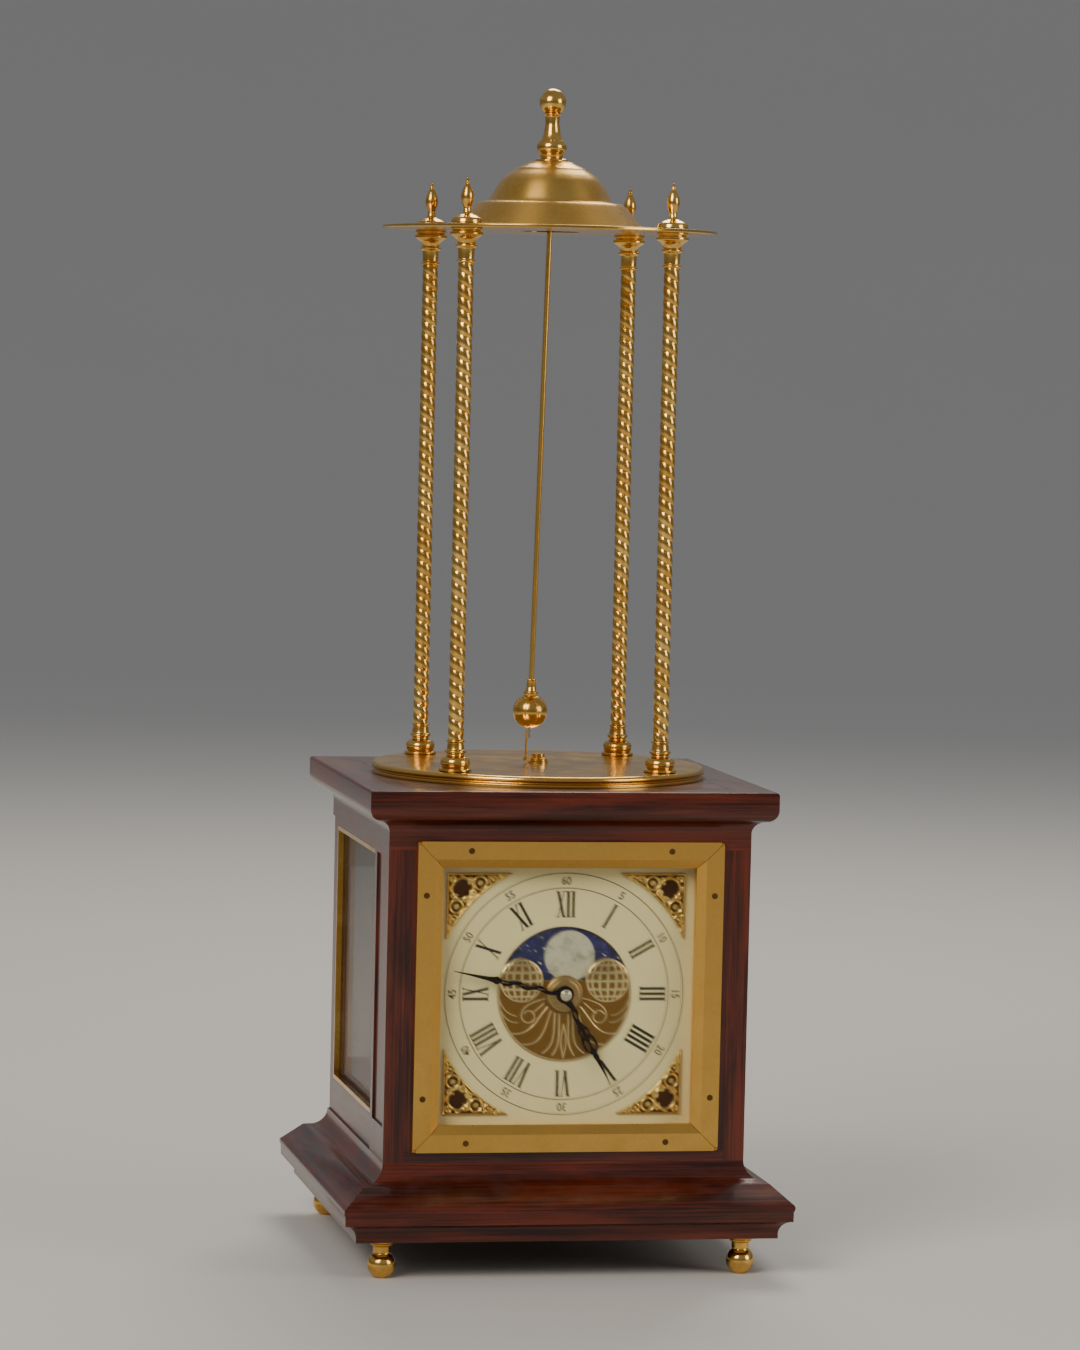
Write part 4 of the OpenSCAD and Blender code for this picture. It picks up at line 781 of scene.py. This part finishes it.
class CLOCK_OT_feet(bpy.types.Operator):
    """Four turned brass feet"""
    bl_idname = "clock.feet"
    bl_label = "Feet"

    def execute(self, context):
        profile = np.vstack([
            [[0, 0], [3.5, 0], [3.7, 0.5]], arc((0, 7.4), 8, -58, 49, 30),
            rounded([[5.22, 13.5], [4.9, 14.3], [4.9, 17.9], [6.4, 18.7], [6.4, 19.5], [5.8, 20.0], [5.8, 20.5],
                     [9.5, 20.5], [9.5, 22.5], [0, 22.5]], 0.5)])
        places = [(x * FOOT_AT, y * FOOT_AT, 0) for x in (-1, 1) for y in (-1, 1)]
        put("turned_feet", copies(lathe(profile, 72), places), "turned_brass", "feet")
        return {"FINISHED"}


class CLOCK_OT_columns(bpy.types.Operator):
    """Four columns: a turned base and capital, and between them a shaft of strands wound to the left"""
    bl_idname = "clock.columns"
    bl_label = "Twisted columns"

    def execute(self, context):
        look = context.scene.clock_columns
        lead, radius, groove = look.lead / MM, look.radius / MM, look.groove / MM
        foot_height, head_height, rows, around = 18, 20, 441, 48
        foot = np.vstack([
            [[0, 0]], rounded([[9.0, 0], [9.4, 0.3], [9.4, 1.3], [8.0, 2.0], [7.6, 2.3]], 0.3),
            arc((4.6, 4.8), 3.9, -38, 55, 20),
            rounded([[6.2, 8.2], [4.9, 9.0], [4.9, 10], [6.1, 10.5], [6.1, 11.8], [5.0, 12.4], [4.5, 16.3],
                     [5.2, 16.7], [5.2, 17.6], [4.2, 18], [0, 18]], 0.45)])
        head = np.vstack([
            [[0, 0]], rounded([[4.2, 0], [5.3, 0.4], [5.3, 1.4], [4.5, 2.0], [4.8, 8.5], [6.2, 9.1], [6.2, 10.2],
                               [5.2, 10.8]], 0.45),
            arc((9.2, 10.8), 4, 178, 112, 16),
            rounded([[8.6, 15.2], [9.4, 15.8], [9.4, 17.3], [8.0, 17.9], [8.0, 18.4], [9.0, 18.8], [9.0, 20],
                     [0, 20]], 0.4)])
        height = CEILING - FLOOR_OF_STAGE - foot_height - head_height
        z = np.concatenate([[0], np.linspace(0, height, rows), [height]])[:, None]
        a = around_in(around)[None, :]
        # Across is 0 in a groove and 1 on a crest, and from the crest the radius falls off as a circle does
        turn = look.strands * (a + 2 * np.pi * z / lead) / (2 * np.pi)
        across = 2 * np.abs(turn - np.round(turn))
        r = radius - groove * (1 - np.sqrt(1 - (0.98 * (1 - across)) ** 2))
        r[[0, -1]] = 0
        shaft = np.stack([r * np.cos(a), r * np.sin(a), np.broadcast_to(z, r.shape)], -1).reshape(-1, 3)
        shape = together(lathe(foot, 56), moved((shaft, grid(rows + 2, around, True)), z=foot_height),
                         moved(lathe(head, 56), z=foot_height + height))
        for node, (x, y) in COLUMNS.items():
            put(node + "_twisted", moved(shape, x, y, FLOOR_OF_STAGE), "turned_brass", node)
        return {"FINISHED"}


class CLOCK_OT_plates(bpy.types.Operator):
    """The moulded lower plate and the thin upper plate of the stage"""
    bl_idname = "clock.plates"
    bl_label = "Round plates"

    def execute(self, context):
        lower = np.vstack([
            rounded([[3.65, 0], [96.3, 0], [96.3, 1.7], [95.2, 2.2], [95.6, 2.5]], 0.3),
            arc((94.7, 4.3), 2.0, -55, 90, 16), [[88, 6.45], [3.65, 6.5]]])
        put("lower_plate", moved(lathe(lower, 256, True), z=PLATE_Z), "faced_brass", "base_disc")
        upper = rounded([[17, 0], [95.9, 0], [96.3, 0.4], [96.3, 1.6], [95.9, 2.0], [17, 2.0]], 0.2)
        put("upper_plate", moved(lathe(upper, 256, True), z=CEILING), "faced_brass", "top_plate")
        return {"FINISHED"}


class CLOCK_OT_dome(bpy.types.Operator):
    """The spun bell dome with its finial, and a small finial over each column"""
    bl_idname = "clock.dome"
    bl_label = "Dome and finials"

    def execute(self, context):
        line = np.array([[54.0, 1.1], [53.2, 1.9], [48.9, 6.6], [45.2, 10.7], [43.2, 12.9], [41.6, 14.2], [39.6, 14.5],
                         [36.5, 14.6], [35.3, 15.8], [32.5, 21.0], [30.1, 25.1], [28.2, 27.8], [25.3, 30.4],
                         [20.9, 33.3], [20.1, 34.2], [16.2, 35.9], [13.6, 37.0]])
        outer = np.vstack([[[53.6, 0], [54, 0.3]], rounded(line, 1.6, 5),
                           rounded([[13.6, 37.0], [12.6, 37.9], [3, 38.0]], 0.5)])
        inner = rounded(line[1:], 1.6, 5)[::-1] - [1.3, 1.0]
        profile = np.vstack([outer, [[3, 36.1], [12, 36.1]], inner, [[51.8, 0.9], [51.8, 0]]])
        put("bell_dome", moved(lathe(profile, 256, True), z=DOME_Z), "spun_brass", "dome")
        top = np.vstack([
            rounded([[0, 0], [9.4, 0], [9.6, 0.5], [9.5, 1.1], [8.4, 1.8], [6.4, 2.3], [6.5, 3.8]], 0.35),
            arc((3.6, 8.4), 5, -48, 55, 24),
            rounded([[6.0, 13.2], [4.8, 16.8], [4.0, 21.8], [4.3, 26.4], [5.3, 27.0], [5.3, 27.7], [4.0, 28.0]], 0.8),
            arc((0, 34.3), 7.7, -56, 90, 36)])
        put("dome_finial", moved(lathe(top, 96), z=FINIAL_Z), "turned_brass", "main_finial")
        u = np.linspace(0, 1, 18)
        small = np.vstack([
            rounded([[0, 0], [8.6, 0], [8.8, 0.3], [8.8, 1.2]], 0.3), arc((6.6, 1.8), 2, 0, 72, 10),
            rounded([[6.2, 4.4], [3.6, 5.2], [2.4, 6.4], [2.1, 8.4]], 0.8),
            np.column_stack([2 + 1.6 * np.sin(u * np.pi), 9.18 + 11.88 * u]),
            rounded([[1.7, 21.4], [1.0, 22.5], [1.5, 23.6], [0.9, 24.6], [0.45, 25.4], [0, 27]], 0.4)])
        places = [(x, y, DOME_Z) for x, y in COLUMNS.values()]
        put("small_finials", copies(lathe(small, 56), places), "turned_brass", "column_finials")
        return {"FINISHED"}


class CLOCK_OT_pendulum(bpy.types.Operator):
    """The pendulum's ball with its turned collar"""
    bl_idname = "clock.pendulum"
    bl_label = "Pendulum ball"

    def execute(self, context):
        ball = np.vstack([
            arc((0, 0), 10, -90, 66, 60),
            rounded([[4.2, 9.2], [4.3, 10.0], [4.3, 11.0], [3.3, 11.6], [2.7, 14.0], [2.7, 17.8], [3.1, 18.1],
                     [3.0, 18.6], [2.5, 18.6], [0, 18.6]], 0.3)])
        put("pendulum_ball", hung(moved(lathe(ball, 128), z=-PENDULUM)), "turned_brass", "bob")
        return {"FINISHED"}


def numeral_strokes(word, width):
    """Strokes of one Roman numeral, as quadrangles centred on x 0 from y 0 to y 1 in units of its height, with x
    in millimetres: heavy and hairline strokes, and a hairline serif at both ends of each."""
    thin, serif = 0.6, 0.034
    # Each letter: its width, its strokes by their lower end, upper end and width, and its serifs by their place, the
    # end that they are at and their half width
    letters = {"I": (2.95, [(0, 0, width)], [(0, 0, 1.35), (0, 1, 1.35)]),
               "V": (5.7, [(0, -1.9, width), (0, 1.9, thin)], [(-1.9, 1, 1.25), (1.9, 1, 1.0)]),
               "X": (5.5, [(1.7, -1.7, width), (-1.7, 1.7, thin)], [(x, y, 1.1) for y in (0, 1) for x in (-1.8, 1.8)])}
    quads, begin = [], 0.0
    for letter in word:
        step, strokes, serifs = letters[letter]
        mid = begin + step / 2
        lines = [(low, high, w / 2, 0, 1) for low, high, w in strokes]
        lines += [(x, x, half, y * (1 - serif), y * (1 - serif) + serif) for x, y, half in serifs]
        for low, high, half, y0, y1 in lines:
            low, high = mid + low, mid + high
            quads.append([[low - half, y0], [low + half, y0], [high + half, y1], [high - half, y1]])
        begin += step
    return np.array(quads) - [begin / 2, 0]


class CLOCK_OT_print(bpy.types.Operator):
    """The print of the dial: two circles, hour numerals with their feet to the middle, and minute figures"""
    bl_idname = "clock.print"
    bl_label = "Dial print"

    def execute(self, context):
        look = context.scene.clock_dial
        depth, half = 0.04, look.line / MM / 2
        rings = [lathe([[r - half, 0], [r + half, 0], [r + half, depth], [r - half, depth]], 288, True)
                 for r in (look.outer_ring / MM, look.inner_ring / MM)]
        put("dial_circles", stand(together(*rings)), "printed_ink")
        foot, top, shapes = look.numeral_foot / MM, look.numeral_top / MM, []
        for hour, word in enumerate("XII I II III IIII V VI VII VIII IX X XI".split()):
            quads = numeral_strokes(word, look.stroke / MM) * [1, top - foot] + [0, foot]
            shapes.append(stand(prisms(quads, depth), turn=30 * hour))
        put("hour_numerals", together(*shapes), "printed_ink")
        middle, shapes = (look.outer_ring + look.inner_ring) / 2 / MM, []
        for minute in range(5, 65, 5):
            text = bpy.data.curves.new("figure", "FONT")
            text.body, text.size, text.extrude = str(minute), look.figure / MM * 1.38, depth / 2
            text.align_x, text.align_y, text.resolution_u, text.offset = "CENTER", "CENTER", 3, 0.08
            points, faces = evaluated(text)
            narrow = 0.86 if minute > 5 else 1
            place = [0, middle - (points[:, 1].min() + points[:, 1].max()) / 2, depth / 2]
            shapes.append(stand(((points + place) * [narrow, 1, 1], faces), turn=6 * minute))
        put("minute_figures", together(*shapes), "printed_ink")
        return {"FINISHED"}


class CLOCK_OT_centre(bpy.types.Operator):
    """The engraved centre of the dial with its two globes and its boss"""
    bl_idname = "clock.centre"
    bl_label = "Engraved centre"

    def execute(self, context):
        # The plate is rays from its bore out to its rim, and cut off level under the moon
        bore, rim, cut, rows, around = 3.0, 38.3, 7.6, 72, 560
        a = around_in(around)[None, :]
        t = np.linspace(0, 1, rows)[:, None]
        reach = np.where(np.sin(a) > 0, np.minimum(rim, cut / np.maximum(np.sin(a), 1e-6)), rim)
        r = bore + t * (reach - bore)
        x, z = (r * np.cos(a)).ravel(), (r * np.sin(a)).ravel()
        # The left half is drawn, and the right half is its mirror image
        line = drawn((((-10.2, -2.4), 190, 39, (2.0, 1.0, 9.0, 15.0, 17.0, 19.0), 1.0),
                      ((-9.6, -7.4), 230, 28, (1.0, 0.0, -2.5, -5.5, -4.0), 1.0),
                      ((-7.6, -9.6), 252, 27, (0.6, -0.4, -2.6, -7.0, -3.0), 1.0),
                      ((-5.2, -10.8), 266, 25, (0.8, 0.0, -1.6, -6.0, -3.0), 1.0),
                      ((-2.6, -11.6), 268, 24, (0.6, 0.2, -1.0, -4.0, -2.0), 1.0),
                      ((-37.0, -3.2), 286, 14, (3.0, 5.0, 7.0), 0.8),
                      ((-35.9, -9.8), 296, 12, (3.0, 6.0, 9.0), 0.8),
                      ((-11.6, -5.2), 222, 9, (0.0, -1.0, -2.0), 0.8)), np.column_stack([-np.abs(x), z]), 0.40, 90)
        # The middle leaf is two strokes 1.5 sin(s) from the middle line, and the rim has a line of its own
        leaf = np.column_stack([1.5 * np.sin(np.linspace(0, np.pi, 60)) ** 1.3, np.linspace(-17, -36.3, 60)])
        line = np.maximum(line, bump(distance_to(leaf, np.column_stack([np.abs(x), z])), 0.36))
        far = np.hypot(x, z)
        line = np.maximum(line, 0.9 * bump(far - 37.6, 0.4))
        line = np.where(far < 10.8, 0.0, line)
        top = np.column_stack([x, z, 0.55 + 0.30 * line])
        n, last = len(top), (rows - 1) * around
        low = np.vstack([top[:around], top[last:]]) * [1, 1, 0]
        plate = (np.vstack([top, low]),
                 np.vstack([grid(rows, around, True)[:, ::-1], band(n, n + around, around), band(0, n, around),
                            band(n + around, last, around)]))
        globe, globe_line = self.globe()
        boss = lathe(rounded([[3.0, 0], [10.6, 0], [10.6, 1.5], [9.6, 2.35], [8.8, 2.1], [7.6, 2.6], [4.2, 2.6],
                              [3.7, 2.2], [3.0, 2.2]], 0.35), 96, True)
        shape = together(plate, *[moved(globe, side * 24.7, cut, 0.6) for side in (-1, 1)], boss)
        # The boss gets a fixed middling value of 0.40, a painted shade that makes it coppery brown like brass in shadow
        lines = [line, np.zeros(len(low)), globe_line, globe_line, np.full(len(boss[0]), 0.40)]
        put("engraved_centre", stand(shape), "engraved_gilt", "centre_plate", {"line": np.concatenate(lines)})
        return {"FINISHED"}

    @staticmethod
    def globe():
        """A globe as a low cap, and how bright it is at each point: its meridians x / sqrt(1 - z^2) and its
        parallels z in even steps of angle stand up as fine ridges."""
        radius, rise, step, rows, around = 12.6, 1.75, np.radians(22.5), 48, 128
        t = np.linspace(0, 1, rows)[:, None]
        a = around_in(around)[None, :]
        x, z = (t * np.cos(a)).ravel(), (t * np.sin(a)).ravel()
        height = rise * np.sqrt(np.clip(1 - x ** 2 - z ** 2, 0, 1)) ** 0.9
        lat = np.arcsin(np.clip(z, -1, 1)) / step
        lon = np.arcsin(np.clip(x / np.sqrt(np.clip(1 - z ** 2, 1e-4, 1)), -1, 1)) / step
        ridge = np.maximum(bump(lat - np.round(lat), 0.16), bump(lon - np.round(lon), 0.16))
        edge = bump(1 - np.hypot(x, z), 0.07)
        line = np.clip(0.25 + 0.55 * ridge + 0.7 * edge, 0, 1)
        top = np.column_stack([x * radius, z * radius, height + 0.12 * ridge * (height > 0.2)])
        low = top * [1, 1, 0] - [0, 0, 0.1]
        faces, n, last = grid(rows, around, True), len(top), (rows - 1) * around
        faces = np.vstack([faces[:, ::-1], faces + n, band(last + n, last, around)])
        return (np.vstack([top, low]), faces), np.concatenate([line, line * 0])


class CLOCK_OT_corners(bpy.types.Operator):
    """Cast corner pieces: a boss in a ring, with scrolls and leaves running out along both edges"""
    bl_idname = "clock.corners"
    bl_label = "Corner pieces"

    def execute(self, context):
        # A corner is rays from the circle round the dial out to the sides of the square opening
        ring, half, rows, columns = 74.75, 68.5, 64, 150
        a = np.radians(np.linspace(24.7, 65.3, columns))[None, :]
        t = np.linspace(0, 1, rows)[:, None]
        r = ring + t * (half / np.maximum(np.cos(a), np.sin(a)) - ring)
        x, z = (r * np.cos(a)).ravel(), (r * np.sin(a)).ravel()
        # u and v run from the corner along the longer and the shorter way, so that one half mirrors the other
        u, v = np.maximum(half - x, half - z), np.minimum(half - x, half - z)
        boss = np.hypot(u - 9, v - 9)
        eye = 0.8 * np.sqrt(np.clip(1 - (boss / 4.9) ** 2, 0, 1))
        rise = 0.95 * bump(boss - 6.1, 0.62)
        # Each scroll: its middle, the radius of its ring and the width of that
        for cu, cv, cr, w in ((19, 5.6, 3.7, 0.6), (26.3, 3.9, 2.3, 0.5), (31.8, 2.6, 1.2, 0.45),
                              (3.3, 3.3, 1.5, 0.5), (14.9, 11.2, 1.5, 0.5), (13.3, 3.6, 1.1, 0.4)):
            d = np.hypot(u - cu, v - cv)
            rise = np.maximum.reduce([rise, 0.85 * bump(d - cr, w), 0.7 * bump(d, 0.42 * cr)])
        leaves = drawn((((10.5, 15.6), -25, 13, (0, -3, 9, 16), 0.85), ((21.5, 9.6), -28, 9, (2, 8, 20), 0.85),
                        ((23.5, 1.6), 25, 8, (-2, -10, -22), 0.85), ((8.0, 1.6), 12, 7, (4, 12, 22), 0.85),
                        ((29.3, 1.3), 10, 6, (6, 14, 24), 0.85)), np.column_stack([u, v]), 0.48)
        border = np.minimum(np.minimum(u, v), r.ravel() - ring)
        rise = np.maximum.reduce([rise, leaves, 0.75 * bump(border - 0.55, 0.5)])
        top = np.column_stack([x, z, 0.62 + 0.82 * np.maximum(rise, eye)])
        n, faces = len(top), grid(rows, columns)
        i, j, last = np.arange(rows - 1) * columns, np.arange(columns - 1), (rows - 1) * columns
        # The walls go round the edge, each from a first to a second row of points
        walls = [np.stack([p, q, q + n, p + n], -1) for p, q in (
            (j, j + 1), (last + j + 1, last + j), (i + columns, i), (i + columns - 1, i + 2 * columns - 1))]
        shape = (np.vstack([top, top * [1, 1, 0]]), np.vstack([faces[:, ::-1], faces + n, *walls]))
        corners = [stand(shape, turn=turn) for turn in (0, 90, 180, 270)]
        put("cast_corners", together(*corners), "cast_brass", "spandrels",
            {"relief": np.tile(np.concatenate([rise, np.zeros(n)]), 4)})
        return {"FINISHED"}


def hand_outline(reach, widths, wave, waves, wave_end):
    """Outline of a hand along y: half widths given at shares of its length and smoothed over seven points, on a
    middle line that swings by wave times sin(2 pi waves t / wave_end) as far as wave_end."""
    t = np.linspace(0, 1, 240)
    half = np.convolve(np.pad(np.interp(t, *np.array(widths).T), 3, mode="edge"), np.ones(7) / 7, "valid")
    middle = np.where(t < wave_end, wave * np.sin(2 * np.pi * waves * t / wave_end), 0.0)
    return np.vstack([np.column_stack([middle + half, t * reach]), np.column_stack([middle - half, t * reach])[::-1]])


def hole(x, y, rx, ry):
    """An ellipse: its middle plus (rx cos a, ry sin a)."""
    a = around_in(20)
    return np.column_stack([x + rx * np.cos(a), y + ry * np.sin(a)])


class CLOCK_OT_hands(bpy.types.Operator):
    """The pierced hour hand, the waved minute hand and the cap over them"""
    bl_idname = "clock.hands"
    bl_label = "Hands"

    def execute(self, context):
        long, short, half, edge = 65.9, 55.1, 0.4, 0.12
        minute = [hand_outline(long, [(0, 1.3), (0.08, 1.5), (0.14, 1.0), (0.22, 1.5), (0.30, 0.9), (0.38, 1.5),
                                      (0.46, 0.9), (0.54, 1.5), (0.585, 1.1), (0.615, 2.6), (0.64, 1.7), (0.70, 1.15),
                                      (0.85, 0.62), (1, 0.18)], 0.75, 3, 0.58)]
        minute += [hole(0.3 * side, long * t, 0.42, 2.2) for t, side in ((0.22, 1), (0.38, 1), (0.54, -1))]
        hour = [hand_outline(short, [(0, 1.6), (0.10, 2.0), (0.16, 1.3), (0.24, 2.0), (0.30, 1.2), (0.36, 1.5),
                                     (0.42, 3.2), (0.47, 2.6), (0.53, 3.9), (0.60, 4.2), (0.66, 2.6), (0.69, 1.2),
                                     (0.72, 1.7), (0.76, 1.1), (0.88, 0.6), (1, 0.2)], 0.6, 1.5, 0.36)]
        for x, t, rx, ry in ((1.75, 0.585, 1.15, 3.6), (1.45, 0.445, 0.75, 1.6)):
            hour += [hole(side * x, short * t, rx, ry) for side in (-1, 1)]
        hour.append(hole(0, short * 0.24, 0.8, 2.4))
        # Each hand: its outlines, the bore and radius of its hub, its depth, and where it points in degrees
        for name, outlines, bore, hub, y, turn, node in (
                ("waved_minute_hand", minute, 1.95, 4.4, -97.2, 282, "minute_hand"),
                ("pierced_hour_hand", hour, 2.65, 5.0, -95.4, 152, "hour_hand")):
            points, faces = lathe(rounded([[bore, -half], [hub, -half], [hub, half], [bore, half]], 0.15), 72, True)
            ring = points, np.vstack([faces[:, [0, 1, 2]], faces[:, [0, 2, 3]]])
            put(name, stand(together(flat_shape(outlines, half, edge), ring), y, turn), "black_hands", node)
        cap = rounded([[0, 0.9], [1.3, 0.9], [1.3, 0], [3.4, 0], [3.4, 0.8], [2.9, 1.35], [2.2, 1.5], [1.5, 1.8],
                       [0, 1.8]], 0.2)
        put("hand_cap", stand(lathe(cap, 72), -97.6), "hand_collet", "hand_nut")
        return {"FINISHED"}


class CLOCK_OT_studio(bpy.types.Operator):
    """The pale floor, the soft lights and the camera"""
    bl_idname = "clock.studio"
    bl_label = "Floor, lights and camera"

    def execute(self, context):
        scene, look = context.scene, context.scene.clock_studio
        # The floor is level, and rises in a wide curve far behind the clock
        bowl = np.vstack([[[0, 0], [2500, 0]], arc((5200, 9000), 9000, 270, 318, 24)])
        bowl[1:, 0] = np.maximum(bowl[1:, 0], bowl[1, 0])
        points, faces = lathe(bowl, 96)
        mesh = bpy.data.meshes.new("floor")
        mesh.from_pydata((points * MM).tolist(), [], faces[:, ::-1].tolist())
        mesh.shade_smooth()
        floor = bpy.data.objects.new("floor", mesh)
        scene.collection.objects.link(floor)
        mesh.materials.append(material("pale_floor"))
        for name, watts, size, place in (("key", look.key, 1.5, (-1.75, -1.9, 1.9)),
                                         ("fill", look.fill, 1.3, (2.3, -1.7, 1.1)),
                                         ("rim", look.rim, 1.2, (0.5, 1.7, 2.2))):
            lamp = bpy.data.lights.new(name + "_light", "AREA")
            lamp.energy, lamp.size, lamp.color = watts, size if look.shadows else 0.1, (1.0, 0.91, 0.79)
            holder = bpy.data.objects.new(name + "_light", lamp)
            holder.location = place
            holder.rotation_euler = (Vector((0, 0, 0.33)) - Vector(place)).to_track_quat("-Z", "Y").to_euler()
            scene.collection.objects.link(holder)
        world = bpy.data.worlds.new("room")
        world.use_nodes = True
        back = world.node_tree.nodes["Background"]
        back.inputs["Color"].default_value = (0.84, 0.85, 0.88, 1)
        back.inputs["Strength"].default_value = look.sky
        scene.world = world
        data = bpy.data.cameras.new("camera")
        data.sensor_fit, data.sensor_height, data.lens = "VERTICAL", 36.0, look.lens
        data.clip_end = 200.0
        camera = bpy.data.objects.new("camera", data)
        at, aim = Vector((-0.5642, -2.8874, 0.5238)), Vector((0.0, 0.0, 0.332))
        turn = (aim - at).to_track_quat("-Z", "Y").to_matrix() @ Matrix.Rotation(look.roll, 3, "Z")
        camera.location, camera.rotation_euler = at, turn.to_euler()
        scene.collection.objects.link(camera)
        scene.camera = camera
        return {"FINISHED"}


GROUPS = {"clock_wood": ClockWood, "clock_brass": ClockBrass, "clock_dial": ClockDial,
          "clock_columns": ClockColumns, "clock_studio": ClockStudio}
OPERATORS = (CLOCK_OT_nodes, CLOCK_OT_mouldings, CLOCK_OT_feet, CLOCK_OT_columns, CLOCK_OT_plates, CLOCK_OT_dome,
             CLOCK_OT_pendulum, CLOCK_OT_print, CLOCK_OT_centre, CLOCK_OT_corners, CLOCK_OT_hands, CLOCK_OT_studio)


class CLOCK_PT_panel(bpy.types.Panel):
    """Lists the clock's sizes, colours and pieces"""
    bl_label = "Conical Pendulum Clock"
    bl_idname = "CLOCK_PT_panel"
    bl_space_type = "VIEW_3D"
    bl_region_type = "UI"
    bl_category = "Clock"

    def draw(self, context):
        for key, group in GROUPS.items():
            box = self.layout.box()
            box.label(text=group.__doc__)
            for name in group.__annotations__:
                box.prop(getattr(context.scene, key), name)
        for operator in OPERATORS:
            self.layout.operator(operator.bl_idname)


def register():
    for item in (*GROUPS.values(), *OPERATORS, CLOCK_PT_panel):
        bpy.utils.register_class(item)
    for key, group in GROUPS.items():
        setattr(bpy.types.Scene, key, PointerProperty(type=group))


def unregister():
    for key in GROUPS:
        delattr(bpy.types.Scene, key)
    for item in reversed((*GROUPS.values(), *OPERATORS, CLOCK_PT_panel)):
        bpy.utils.unregister_class(item)


def main():
    """Registers the classes and makes every piece in order."""
    register()
    for operator in OPERATORS:
        getattr(bpy.ops.clock, operator.bl_idname.split(".")[1])()


if __name__ == "__main__":
    main()
